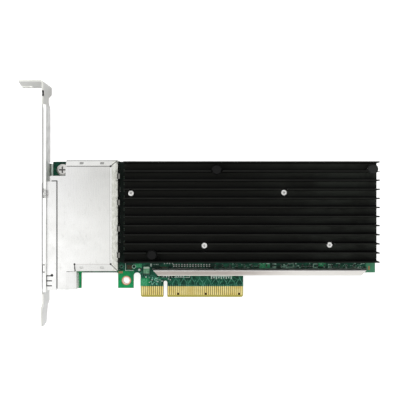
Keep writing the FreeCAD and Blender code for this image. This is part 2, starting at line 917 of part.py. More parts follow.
def jack_housing():
    """Moulded body: port sockets in front, pockets for the magnetics behind, pegs beneath."""
    body = jack_block(shield_sheet + shield_gap, jack_front)
    pegs = [shank(x, y, peg_radius, (board_back, board_front + overrun)) for x, y in peg_places()]
    cuts = [port_cavity(centre) for centre in port_centres()]
    cuts += [magnetics_block(centre, module_clearance) for centre in module_centres()]
    cuts += lens_blocks()
    cuts.append(shank(screw_x, lower_ear_centre, screw_radius,
                      (board_front - overrun, board_front + screw_reach)))
    return unite([body] + pegs).cut(Part.makeCompound(cuts))


def contact_profile(y):
    """Side view of one spring contact: a strip along the floor folded back into a rising arm."""
    low = board_front + port_floor
    back = jack_front + port_depth
    fold = back - spring_run - spring_end_gap
    outline = [
        (back, low), (fold, low), (fold, low + spring_fold),
        (fold + spring_run, low + spring_rise),
        (fold + spring_run, low + spring_rise - spring_thickness),
        (fold + spring_thickness, low + spring_thickness), (back, low + spring_thickness),
    ]
    return [Vector(x, y, z) for x, z in outline]


def jack_contacts():
    """Eight spring contacts in each port."""
    springs = []
    for centre in port_centres():
        for i in range(spring_count):
            y = centre + (i - (spring_count - 1) / 2) * spring_pitch - spring_width / 2
            springs.append(prism(contact_profile(y), Vector(0, spring_width, 0)))
    return Part.makeCompound(springs)


def jack_solder_pins():
    """Square pins from the magnetics modules down through the board."""
    z = (board_back - pin_reach, board_front)
    pins = [block(centred(x, pin_size), centred(y, pin_size), z) for x, y in pin_places()]
    return Part.makeCompound(pins)


# ---------------------------------------------------------------- heat sink

def fin_profile():
    """Corners of the base with its row of slightly tapered fins, seen along the card."""
    pitch = (sink_high_side - sink_low_side - fin_thickness) / (fin_count - 1)
    taper = (fin_thickness - fin_tip_thickness) / 2
    tip = sink_base_top + fin_height
    corners = [(sink_high_side, sink_base_bottom), (sink_low_side, sink_base_bottom)]
    for i in range(fin_count):
        low = sink_low_side + i * pitch
        high = low + fin_thickness
        corners += [(low, sink_base_top), (low + taper, tip), (high - taper, tip),
                    (high, sink_base_top)]
    return [Vector(sink_left, y, z) for y, z in corners]


def chip_face(centre, size, z):
    """Block over the flat top of a chip's moulded cap."""
    cap = size - 2 * chip_shoulder
    return block(centred(centre[0], cap), centred(centre[1], cap), z)


def heat_sink():
    """Extruded fins over one base, with pedestals on the chips and room round its fasteners."""
    extrusion = prism(fin_profile(), Vector(sink_right - sink_left, 0, 0))
    pedestal_z = (board_front + chip_height + thermal_pad_thickness, sink_base_bottom)
    parts = [extrusion]
    parts += [chip_face(centre, size, pedestal_z) for centre, size in large_chips]
    above = (sink_base_top, sink_base_top + fin_height + overrun)
    through = (sink_base_bottom - overrun, sink_base_top + overrun)
    cuts = []
    for x, y in stud_places:
        cuts.append(post(x, y, stud_head_radius + stud_fin_clearance, above))
        cuts.append(shank(x, y, stud_radius + stud_clearance, through))
    for x, y in push_pin_places:
        cuts.append(post(x, y, push_pin_head_radius + push_pin_fin_clearance, above))
        cuts.append(shank(x, y, push_pin_radius + push_pin_clearance, through))
    return unite(parts).cut(Part.makeCompound(cuts))


def heat_sink_studs():
    """Swaged studs: head on the base, six-sided spacer over the board, tail under it."""
    crown = sink_base_top + stud_head_height
    head = [
        (0, sink_base_top), (stud_head_radius, sink_base_top), (stud_head_radius, crown),
        (stud_radius / 2, crown), (0, crown - stud_head_height / 2),
    ]
    studs = []
    for x, y in stud_places:
        studs.append(unite([
            turned(head, x, y),
            shank(x, y, stud_head_radius, (board_back - stud_tail, board_back)),
            shank(x, y, stud_radius, (board_back, sink_base_top)),
            sided_post(x, y, stud_collar_width / 2, 6, (board_front, sink_base_bottom)),
        ]))
    return Part.makeCompound(studs)


def push_pins():
    """Nylon push pins: flat head over a spring, shank through the board, barbed tip beneath."""
    head = sink_base_top + spring_height
    crown = head + push_pin_head_height
    tip = board_back - push_pin_barb
    flat_head = [
        (0, head), (push_pin_head_radius, head), (push_pin_head_radius, crown - push_pin_edge),
        (push_pin_head_radius - push_pin_edge, crown), (0, crown),
    ]
    shoulder = board_back - 2 * push_pin_clearance
    reaches = (push_pin_radius / 2, push_pin_radius + 2 * push_pin_clearance)
    pins = []
    for x, y in push_pin_places:
        pins.append(unite([turned(flat_head, x, y), shank(x, y, push_pin_radius, (shoulder, head)),
                           sided_taper(x, y, reaches, (tip, shoulder))]))
    return Part.makeCompound(pins)


def coil_spring(radius, height):
    """Coil spring about the Z axis, from flat-sided wire sections set along the helix."""
    sections = []
    count = spring_turns * spring_sections_per_turn
    for i in range(count + 1):
        along = 2 * math.pi * i / spring_sections_per_turn
        level = spring_wire / 2 + (height - spring_wire) * i / count
        points = []
        for j in range(spring_wire_sides):
            around = 2 * math.pi * (j + 0.5) / spring_wire_sides
            reach = radius + spring_wire / 2 * math.cos(around)
            points.append(Vector(reach * math.cos(along), reach * math.sin(along),
                                 level + spring_wire / 2 * math.sin(around)))
        sections.append(Part.makePolygon(points + points[:1]))
    return Part.makeLoft(sections, True, True)


def push_pin_springs():
    """Coil springs that press the pin heads away from the base."""
    spring = coil_spring(push_pin_radius + 2 * push_pin_clearance + spring_wire / 2, spring_height)
    springs = [spring.translated(Vector(x, y, sink_base_top)) for x, y in push_pin_places]
    return Part.makeCompound(springs)


def thermal_pads():
    """Soft pads between the chips and the pedestals of the heat sink."""
    z = (board_front + chip_height, board_front + chip_height + thermal_pad_thickness)
    return Part.makeCompound([chip_face(centre, size, z) for centre, size in large_chips])


def ball_grid_chip(centre, size):
    """Chip package: square substrate under a moulded cap with drafted sides."""
    x, y = centre
    middle = board_front + chip_base_height
    substrate = block(centred(x, size), centred(y, size), (board_front, middle))
    cap = size - 2 * chip_shoulder
    foot = centred(x, cap + 2 * chip_draft) + centred(y, cap + 2 * chip_draft)
    top = centred(x, cap) + centred(y, cap)
    moulding = Part.makeLoft([rectangle(foot, middle), rectangle(top, board_front + chip_height)],
                             True, True)
    return unite([substrate, moulding])


# ---------------------------------------------------------------- stiffener bar

def stiffener_bar():
    """Folded channel along the edge connector: lip, web and a leg with solder tabs."""
    half = bar_sheet / 2
    path = [
        Vector(bar_left, bar_low_side + half, board_front + bar_height - bar_lip),
        Vector(bar_left, bar_low_side + half, board_front + bar_height - half),
        Vector(bar_left, bar_high_side - half, board_front + bar_height - half),
        Vector(bar_left, bar_high_side - half, board_front),
    ]
    bar = folded_strip(path, bar_sheet, bar_bend_radius, Vector(1, 0, 0), bar_right - bar_left)
    z = board_front - overrun
    deep = Vector(0, 0, bar_height + 2 * overrun)
    ends = []
    for end, inward in ((bar_left, 1), (bar_right, -1)):
        points = [Vector(end, bar_high_side, z), Vector(end - inward, bar_high_side, z),
                  Vector(end - inward, bar_low_side - overrun, z),
                  Vector(end + inward * bar_end_slope, bar_low_side - overrun, z),
                  Vector(end + inward * bar_end_slope, bar_low_side, z)]
        ends.append(prism(points, deep))
    parts = [bar.cut(Part.makeCompound(ends))]
    for centre in bar_tab_centres():
        parts.append(block(centred(centre, bar_tab_width), (bar_high_side - bar_sheet, bar_high_side),
                           (board_back - bar_tab_reach, board_front + overrun)))
    return unite(parts)


# ---------------------------------------------------------------- small components

def seated(places, size):
    """A group of equal blocks that stand on the component side."""
    length, width, height = size
    z = (board_front, board_front + height)
    return Part.makeCompound([block(centred(x, length), centred(y, width), z) for x, y in places])


def strip_row(left, pitch, count):
    """Places in a row on the board strip between the heat sink and the stiffener bar."""
    return [(left + i * pitch, sink_low_side - strip_row_gap) for i in range(count)]


def edge_column():
    """Places in the gap between the jacks and the heat sink."""
    x = sink_left - edge_column_gap
    return [(x, edge_column_low + i * edge_column_pitch) for i in range(edge_column_count)]


def chip_capacitors():
    """Capacitors set across the strip, close together, and beside the jacks."""
    length, width, height = capacitor_size
    row = strip_row(dense_row_left, dense_row_pitch, dense_row_count)
    return Part.makeCompound([seated(row, (width, length, height)),
                              seated(edge_column(), (width, length, height))])


def chip_resistors():
    """Resistors set across the rest of the strip, further apart."""
    length, width, height = resistor_size
    row = strip_row(sparse_row_left, sparse_row_pitch, sparse_row_count)
    return seated(row, (width, length, height))


def supply_places(row):
    """Places of one row of the supply phases in the middle of the board."""
    x, y = supply_centre
    rise = row * ((inductor_size[1] + regulator_size[1]) / 2 + supply_row_gap)
    middle = (supply_phases - 1) / 2
    return [(x + (i - middle) * supply_pitch, y + rise) for i in range(supply_phases)]


def power_inductors():
    return seated(supply_places(0), inductor_size)


def voltage_regulators():
    return seated(supply_places(1) + [supply_near_fingers], regulator_size)


def back_capacitors():
    """Square grid of capacitors on the solder side, behind each of the two large chips."""
    length, width, height = capacitor_size
    z = (board_back - height, board_back)
    middle = (back_grid_count - 1) / 2
    blocks = []
    for (x, y), size in large_chips:
        for i in range(back_grid_count):
            for j in range(back_grid_count):
                column = x + (i - middle) * back_grid_pitch
                row = y + (j - middle) * back_grid_pitch
                blocks.append(block(centred(column, length), centred(row, width), z))
    return Part.makeCompound(blocks)


NODES = {
    "circuit_board": circuit_board,
    "front_edge_contacts": lambda: edge_contacts(1),
    "back_edge_contacts": lambda: edge_contacts(-1),
    "ear_hole_rings": ear_hole_rings,
    "mounting_bracket": mounting_bracket,
    "bracket_screws": bracket_screws,
    "jack_shield": jack_shield,
    "jack_front_collar": jack_front_collar,
    "jack_housing": jack_housing,
    "jack_contacts": jack_contacts,
    "jack_status_lenses": lambda: Part.makeCompound(lens_blocks()),
    "jack_magnetics": lambda: Part.makeCompound([magnetics_block(c, 0) for c in module_centres()]),
    "jack_solder_pins": jack_solder_pins,
    "heat_sink": heat_sink,
    "heat_sink_studs": heat_sink_studs,
    "push_pins": push_pins,
    "push_pin_springs": push_pin_springs,
    "thermal_pads": thermal_pads,
    "phy_chip": lambda: ball_grid_chip(phy_centre, phy_size),
    "controller_chip": lambda: ball_grid_chip(controller_centre, controller_size),
    "stiffener_bar": stiffener_bar,
    "chip_capacitors": chip_capacitors,
    "chip_resistors": chip_resistors,
    "power_inductors": power_inductors,
    "voltage_regulators": voltage_regulators,
    "clock_crystal": lambda: seated([crystal_place], crystal_size),
    "flash_memory": lambda: seated([memory_place], memory_size),
    "back_capacitors": back_capacitors,
}

os.makedirs("parts", exist_ok=True)
for name, build in NODES.items():
    shape = build()
    shape.exportStep("parts/" + name + ".step")
    print(name, len(shape.Solids), shape.isValid())
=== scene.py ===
import json
import math
import random

import bmesh
import bpy
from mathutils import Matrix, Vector


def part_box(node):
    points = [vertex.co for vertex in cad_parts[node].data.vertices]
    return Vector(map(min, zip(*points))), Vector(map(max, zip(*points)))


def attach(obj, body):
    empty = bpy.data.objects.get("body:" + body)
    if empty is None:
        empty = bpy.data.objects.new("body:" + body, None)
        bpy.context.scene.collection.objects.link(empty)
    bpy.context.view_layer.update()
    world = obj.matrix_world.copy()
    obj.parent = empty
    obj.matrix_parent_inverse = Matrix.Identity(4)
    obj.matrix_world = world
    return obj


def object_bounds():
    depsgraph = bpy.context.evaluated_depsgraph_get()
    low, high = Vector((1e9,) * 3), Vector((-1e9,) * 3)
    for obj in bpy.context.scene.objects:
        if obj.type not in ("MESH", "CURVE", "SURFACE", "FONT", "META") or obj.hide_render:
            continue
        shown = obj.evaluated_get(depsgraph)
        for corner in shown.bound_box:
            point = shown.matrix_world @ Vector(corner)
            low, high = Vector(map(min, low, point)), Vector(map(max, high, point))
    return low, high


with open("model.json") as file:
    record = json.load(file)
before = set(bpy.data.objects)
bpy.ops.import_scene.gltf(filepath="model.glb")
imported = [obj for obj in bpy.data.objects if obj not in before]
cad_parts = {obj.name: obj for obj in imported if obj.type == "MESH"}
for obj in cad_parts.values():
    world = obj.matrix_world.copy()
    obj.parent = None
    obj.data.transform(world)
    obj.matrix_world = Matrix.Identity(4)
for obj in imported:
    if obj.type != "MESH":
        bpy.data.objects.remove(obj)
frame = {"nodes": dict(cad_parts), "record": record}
bpy.context.scene.view_settings.view_transform = "Standard"
cad_low, cad_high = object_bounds()

MM = 0.001
random.seed(7)

# Corners of the CAD pieces that the looks are measured from, in metres
board_low, board_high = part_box("circuit_board")
shield_low, shield_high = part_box("jack_shield")
sink_low, sink_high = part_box("heat_sink")
bracket_low, bracket_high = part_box("mounting_bracket")
bar_low, bar_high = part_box("stiffener_bar")
contact_low, contact_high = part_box("front_edge_contacts")
ring_low, ring_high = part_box("ear_hole_rings")
front = board_high.z
back = board_low.z
bracket_outer = -59.91 * MM  # outer face of the bracket's panel
past = 1 * MM  # how far a mask runs on past the end of its piece
upper_spring, lower_spring = 52.6, 15.9  # middles of the bracket's spring tabs along Y, in mm


def srgb(red, green, blue):
    """Linear colour from 0 to 255 display values."""
    def linear(value):
        value = value / 255
        return value / 12.92 if value <= 0.04045 else ((value + 0.055) / 1.055) ** 2.4
    return (linear(red), linear(green), linear(blue), 1.0)


def around(middle, half):
    return (middle - half, middle + half)


# -------- materials

class Finish:
    """A procedural material: small helpers that end in one Principled shader."""

    def __init__(self, name, metallic=0.0, roughness=0.5, specular=0.5):
        self.material = bpy.data.materials.new(name)
        self.material.use_nodes = True
        self.nodes = self.material.node_tree.nodes
        self.links = self.material.node_tree.links
        self.shader = self.nodes["Principled BSDF"]
        self.shader.inputs["Metallic"].default_value = metallic
        self.shader.inputs["Roughness"].default_value = roughness
        self.shader.inputs["Specular IOR Level"].default_value = specular
        self.place = self.nodes.new("ShaderNodeTexCoord").outputs["Object"]
        self.direction = self.nodes.new("ShaderNodeNewGeometry").outputs["Normal"]
        self.axis = self.parts(self.place)
        self.normal = self.parts(self.direction)

    def parts(self, vector):
        """The three parts of a vector, by the names of their axes."""
        split = self.nodes.new("ShaderNodeSeparateXYZ")
        self.links.new(vector, split.inputs[0])
        return dict(zip("xyz", split.outputs))

    def feed(self, socket, value):
        """Links an output to a socket, or sets a constant on it."""
        if hasattr(value, "is_output"):
            self.links.new(value, socket)
        else:
            socket.default_value = value

    # Numbers

    def noise(self, size, detail=3.0, stretch=(1, 1, 1)):
        """Noise whose features are about size millimetres, longer where stretch is above 1."""
        mapping = self.nodes.new("ShaderNodeMapping")
        for i in range(3):
            mapping.inputs["Scale"].default_value[i] = 1 / stretch[i]
        self.links.new(self.place, mapping.inputs["Vector"])
        texture = self.nodes.new("ShaderNodeTexNoise")
        texture.inputs["Scale"].default_value = 1 / (size * MM)
        texture.inputs["Detail"].default_value = detail
        texture.inputs["Roughness"].default_value = 0.55
        self.links.new(mapping.outputs[0], texture.inputs["Vector"])
        return texture.outputs["Fac"]

    def span(self, value, low, high, to_low=0.0, to_high=1.0):
        """Maps low to high onto another span, smoothly and held at both ends."""
        node = self.nodes.new("ShaderNodeMapRange")
        node.interpolation_type = "SMOOTHSTEP"
        self.links.new(value, node.inputs["Value"])
        for i, number in enumerate((low, high, to_low, to_high)):
            node.inputs[i + 1].default_value = number
        return node.outputs[0]

    def maths(self, operation, first, second=0.0):
        node = self.nodes.new("ShaderNodeMath")
        node.operation = operation
        self.feed(node.inputs[0], first)
        self.feed(node.inputs[1], second)
        return node.outputs[0]

    def distance(self, x, y):
        """Distance in the XY plane from a point given in metres."""
        across = self.maths("POWER", self.maths("SUBTRACT", self.axis["x"], x), 2.0)
        along = self.maths("POWER", self.maths("SUBTRACT", self.axis["y"], y), 2.0)
        return self.maths("SQRT", self.maths("ADD", across, along))

    def rounded(self, radius):
        """The direction of the surface with edges rounded by radius millimetres."""
        bevel = self.nodes.new("ShaderNodeBevel")
        bevel.samples = 4
        bevel.inputs["Radius"].default_value = radius * MM
        return bevel.outputs[0]

    # Masks, from 0 to 1

    def within(self, axis, low, high, soft=0.2):
        """1 between two places along an axis, both in metres, with soft edges in millimetres."""
        edge = soft * MM
        rise = self.span(self.axis[axis], low - edge, low + edge)
        fall = self.span(self.axis[axis], high - edge, high + edge, 1.0, 0.0)
        return self.both(rise, fall)

    def area(self, x, y, soft_x=0.2, soft_y=0.2):
        """1 over a rectangle of the XY plane: places in metres, soft edges in millimetres."""
        return self.both(self.within("x", *x, soft_x), self.within("y", *y, soft_y))

    def patch(self, x, y, soft=0.1):
        """1 over a rectangle of the XY plane, all in millimetres."""
        return self.area([v * MM for v in x], [v * MM for v in y], soft, soft)

    def edges(self, radius):
        """1 on edges and corners, 0 on flat faces."""
        dot = self.nodes.new("ShaderNodeVectorMath")
        dot.operation = "DOT_PRODUCT"
        self.links.new(self.rounded(radius), dot.inputs[0])
        self.links.new(self.direction, dot.inputs[1])
        return self.span(dot.outputs["Value"], 0.80, 0.995, 1.0, 0.0)

    def facing(self, axis, sign=1.0):
        """1 on faces that look along one way of an axis, 0 elsewhere."""
        return self.span(self.both(self.normal[axis], sign), 0.4, 0.75)

    def facing_up(self):
        """1 on faces that look along +Z or -Z, 0 on side faces."""
        return self.span(self.maths("ABSOLUTE", self.normal["z"]), 0.4, 0.7)

    def both(self, first, second):
        return self.maths("MULTIPLY", first, second)

    def either(self, first, second):
        return self.maths("MAXIMUM", first, second)

    # Colours

    def mix(self, factor, first, second):
        node = self.nodes.new("ShaderNodeMix")
        node.data_type = "RGBA"
        self.feed(node.inputs[0], factor)
        self.feed(node.inputs[6], first)
        self.feed(node.inputs[7], second)
        return node.outputs[2]

    def blend(self, value, low, high, first, second):
        """The first colour up to low, the second from high on."""
        return self.mix(self.span(value, low, high), first, second)

    def over(self, tone, mask, colour, share=1.0):
        """A colour laid over a tone where the mask is 1, share of the way."""
        return self.mix(mask if share == 1.0 else self.both(mask, share), tone, colour)

    # Ends of the graph

    def colour(self, value):
        self.feed(self.shader.inputs["Base Color"], value)

    def roughness(self, value, low, high, smooth, rough):
        """Roughness that goes from smooth to rough as a value goes from low to high."""
        self.feed(self.shader.inputs["Roughness"], self.span(value, low, high, smooth, rough))

    def bump(self, height, depth, round_edges=0.0):
        """Surface relief of depth millimetres, over edges rounded by a small radius."""
        node = self.nodes.new("ShaderNodeBump")
        node.inputs["Strength"].default_value = 1.0
        node.inputs["Distance"].default_value = depth * MM
        self.links.new(height, node.inputs["Height"])
        if round_edges:
            self.links.new(self.rounded(round_edges), node.inputs["Normal"])
        self.links.new(node.outputs[0], self.shader.inputs["Normal"])


def sheet_metal(name, bright, dull, roughness):
    """Small plated parts: fine grain, faint stains and brighter edges."""
    finish = Finish(name, metallic=1.0, roughness=roughness)
    spread = 0.07
    grain = finish.noise(0.25, 2.0)
    tone = finish.blend(finish.noise(9.0, 4.0), 0.35, 0.7, bright, dull)
    tone = finish.over(tone, finish.span(grain, 0.3, 0.8), dull, 0.25)
    finish.colour(finish.over(tone, finish.edges(0.15), bright, 0.5))
    finish.roughness(grain, 0.2, 0.8, roughness - spread, roughness + spread)
    finish.bump(grain, 0.004, 0.08)
    return finish.material


def moulded(name, base, roughness, grain=0.25, depth=0.01):
    """Moulded plastic or resin: fine spark-eroded grain and slightly paler edges."""
    finish = Finish(name, roughness=roughness, specular=0.4)
    fine = finish.noise(grain, 3.0)
    pale = tuple(min(1.0, c * 1.7 + 0.012) for c in base[:3]) + (1.0,)
    dark = tuple(c * 0.75 for c in base[:3]) + (1.0,)
    tone = finish.blend(finish.noise(6.0, 3.0), 0.3, 0.7, base, dark)
    finish.colour(finish.over(tone, finish.edges(0.12), pale, 0.6))
    finish.roughness(fine, 0.3, 0.7, roughness - 0.06, roughness + 0.08)
    finish.bump(fine, depth, 0.08)
    return finish.material


def solder_mask():
    """Board: green mask over copper pours, bare laminate at the fingers, fibres on the edges,
    painted shade by the jacks, the bar and the sink.
    """
    finish = Finish("board_laminate", roughness=0.35, specular=0.15)
    on_front = finish.facing("z")
    board_end = board_low.y - past
    weave = finish.noise(0.5, 2.0, (3, 1, 1))
    pours = finish.span(finish.noise(3.2, 5.0), 0.47, 0.51)
    mask = finish.mix(pours, srgb(10, 60, 45), srgb(20, 88, 66))
    patches = finish.span(finish.noise(1.5, 2.0, (2, 1, 1)), 0.57, 0.6)
    mask = finish.over(mask, patches, srgb(50, 130, 96), 0.5)

    # Brighter green where no copper lies under the mask
    low_end = (board_end, contact_high.y + 7.8 * MM)
    ear = finish.area((ring_low.x - 2.2 * MM, ring_high.x + 1.6 * MM), low_end, 0.2, 0.5)
    foot = finish.area((board_low.x - past, -42 * MM), low_end, 0.2, 0.5)
    beside_notch = finish.area((-13 * MM, -8 * MM), (5 * MM, 9.5 * MM), 0.6, 1.2)
    clear = finish.either(ear, finish.either(foot, beside_notch))
    mask = finish.over(mask, clear, finish.blend(finish.noise(2.0, 4.0), 0.4, 0.62,
                                                 srgb(18, 172, 98), srgb(26, 138, 84)))
    corner = finish.area((bar_high.x, board_high.x + past), (board_end, sink_low.y + 2 * MM), 0.6)
    mask = finish.over(mask, corner, srgb(104, 184, 140), 0.6)
    # Painted shade on the front in the deep gap between the jacks and the heat sink
    jack_gap_shade = finish.area((shield_high.x - 3 * MM, sink_low.x + 1 * MM),
                           (17.5 * MM, board_high.y + past), 0.3, 0.8)
    mask = finish.over(mask, finish.both(jack_gap_shade, on_front), srgb(8, 18, 13), 0.92)

    # Bare laminate between the contacts, paler on the bevel and at both ends
    bare = finish.blend(weave, 0.35, 0.65, srgb(74, 54, 13), srgb(56, 40, 9))
    bevel = finish.within("y", board_end, contact_low.y, 0.06)
    bare = finish.over(bare, bevel, srgb(188, 178, 84))
    connector = finish.area((contact_low.x - 1.2 * MM, contact_high.x + 1.2 * MM),
                            (board_end, contact_high.y + 0.1 * MM), 0.2, 0.08)
    mask = finish.over(mask, connector, bare)
    ends = finish.either(finish.within("x", contact_low.x - 2 * MM, contact_low.x, 0.03),
                         finish.within("x", contact_high.x, contact_high.x + 2 * MM, 0.03))
    mask = finish.over(mask, finish.both(connector, ends), srgb(206, 196, 128))

    # Painted shadow: dark lines on the board close beside the bar and the sink
    bar_shadow = finish.area((bar_low.x - 0.5 * MM, bar_high.x + 0.5 * MM),
                         (bar_high.y - 1 * MM, bar_high.y + 0.75 * MM), 0.2, 0.35)
    sink_shadow = finish.area((sink_low.x, sink_high.x),
                          (sink_low.y - 0.55 * MM, sink_low.y + 2 * MM), 0.2, 0.35)
    metal_shadow = finish.both(finish.either(bar_shadow, sink_shadow), on_front)
    mask = finish.over(mask, metal_shadow, srgb(4, 16, 11), 0.85)

    fibre = finish.blend(finish.noise(0.12, 2.0, (8, 8, 1)), 0.3, 0.7,
                         srgb(176, 178, 108), srgb(120, 132, 70))
    finish.colour(finish.mix(finish.facing_up(), fibre, mask))
    finish.roughness(weave, 0.3, 0.7, 0.28, 0.42)
    finish.bump(finish.maths("ADD", pours, finish.both(weave, 0.3)), 0.02)
    return finish.material


def gold_plate():
    """Edge contacts and port springs: pale gold, wiped darker along the edge contacts."""
    finish = Finish("gold_plate", metallic=1.0, roughness=0.3)
    wipe = finish.noise(0.3, 3.0, (1, 9, 1))
    tone = finish.blend(finish.noise(4.0, 3.0), 0.3, 0.7, srgb(238, 224, 154), srgb(224, 203, 121))
    finish.colour(finish.over(tone, finish.span(wipe, 0.5, 0.75), srgb(196, 168, 92), 0.5))
    finish.roughness(wipe, 0.3, 0.7, 0.24, 0.42)
    finish.bump(wipe, 0.005)
    return finish.material


def copper_ring():
    """Rings of the ear's hole: pale worn copper, redder at the outer edge."""
    finish = Finish("copper_ring", metallic=1.0, roughness=0.38)
    cloud = finish.noise(0.8, 3.0)
    from_centre = finish.distance((ring_low.x + ring_high.x) / 2, (ring_low.y + ring_high.y) / 2)
    tone = finish.blend(cloud, 0.35, 0.65, srgb(238, 214, 200), srgb(224, 196, 178))
    finish.colour(finish.blend(from_centre, 1.75 * MM, 2.2 * MM, tone, srgb(188, 128, 102)))
    finish.roughness(cloud, 0.3, 0.7, 0.3, 0.5)
    finish.bump(finish.noise(0.2, 2.0), 0.01)
    return finish.material


def black_anodised():
    """Heat sink: black dyed aluminium with painted light and shade across each groove and on the
    fin walls, and die lines.
    """
    finish = Finish("black_anodised", roughness=0.55, specular=0.08)
    lines = finish.noise(0.16, 2.0, (120, 1, 1))
    fin_count, fin_width = 12, 0.75 * MM
    pitch = (sink_high.y - sink_low.y - fin_width) / (fin_count - 1)
    turns = finish.maths("DIVIDE", finish.maths("SUBTRACT", finish.axis["y"], sink_low.y), pitch)
    step = finish.maths("FRACT", turns)  # 0 at one fin's low side, 1 at the next one's
    # Painted sheen on the groove floors, patchy and growing towards +X
    patchy_sheen = finish.both(finish.span(finish.axis["x"], 30 * MM, 90 * MM),
                       finish.span(finish.noise(11.0, 4.0, (2, 1, 1)), 0.3, 0.6))
    # Painted light and shade across each groove: darker near one fin, paler towards the next, with
    # painted shade at the foot of each fin and just before the next
    groove_shade = finish.blend(step, 0.3, 0.9, finish.mix(patchy_sheen, srgb(23, 24, 22), srgb(38, 41, 38)),
                        finish.mix(patchy_sheen, srgb(42, 43, 39), srgb(68, 72, 66)))
    fin_root_shade = finish.both(finish.span(step, 0.15, 0.19), finish.span(step, 0.25, 0.36, 1.0, 0.0))
    groove_shade = finish.over(groove_shade, fin_root_shade, srgb(4, 4, 4))
    groove_shade = finish.over(groove_shade, finish.span(step, 0.92, 0.99), srgb(12, 12, 11))
    groove = finish.both(finish.within("z", sink_low.z, sink_high.z - 5 * MM, 0.6),
                         finish.within("y", sink_low.y + 1 * MM, sink_high.y - 1 * MM))
    tone = finish.blend(finish.noise(7.0, 4.0), 0.3, 0.7, srgb(26, 27, 25), srgb(33, 34, 31))
    tone = finish.over(tone, groove, groove_shade)
    # Painted shade on the fin walls, darkest on those that face +Y
    tone = finish.over(tone, finish.facing("y"), srgb(5, 5, 5))
    tone = finish.over(tone, finish.facing("y", -1.0), srgb(15, 15, 14))
    worn = finish.both(finish.edges(0.1), finish.span(finish.noise(2.5, 4.0), 0.4, 0.7))
    finish.colour(finish.over(tone, worn, srgb(112, 114, 110), 0.1))
    finish.roughness(lines, 0.3, 0.7, 0.42, 0.6)
    finish.bump(lines, 0.012, 0.08)
    return finish.material


def clear_lens():
    """Status lenses: clear moulding with a green cast, slightly cloudy."""
    finish = Finish("clear_lens", roughness=0.18)
    cloud = finish.noise(1.0, 2.0)
    finish.colour(finish.blend(cloud, 0.3, 0.7, srgb(226, 232, 214), srgb(206, 214, 190)))
    finish.roughness(cloud, 0.3, 0.7, 0.12, 0.25)
    finish.bump(finish.noise(0.4, 2.0), 0.01, 0.08)
    finish.shader.inputs["Transmission Weight"].default_value = 0.35
    return finish.material


def printed(name, bright, dull, size=0.5, roughness=0.55):
    """Ink, mask over a track or a solder joint: a slightly patchy, slightly raised coat."""
    finish = Finish(name, roughness=roughness, specular=0.2)
    cloud = finish.noise(size, 3.0)
    finish.colour(finish.blend(cloud, 0.35, 0.65, bright, dull))
    finish.roughness(cloud, 0.3, 0.7, roughness - 0.08, roughness + 0.1)
    finish.bump(cloud, 0.01)
    return finish.material


def screw_plate():
    """Plated screw: bright head with painted shade in the cross recess."""
    finish = Finish("screw_steel", metallic=1.0, roughness=0.3)
    turned = finish.noise(0.3, 3.0)
    tone = finish.blend(turned, 0.3, 0.7, srgb(232, 231, 228), srgb(206, 205, 202))
    low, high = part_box("bracket_screws")
    recess = 0.72 * MM
    upper = finish.within("z", front + 0.2 * MM, high.z - recess, 0.12)
    lower = finish.within("z", low.z + recess, back - 1.0 * MM, 0.12)
    # Painted shade on the floor of the cross recess, above and below the card
    recess_shade = finish.both(finish.either(upper, lower), finish.facing_up())
    finish.colour(finish.over(tone, recess_shade, srgb(64, 64, 64)))
    finish.roughness(turned, 0.2, 0.8, 0.24, 0.4)
    finish.bump(turned, 0.006, 0.1)
    return finish.material


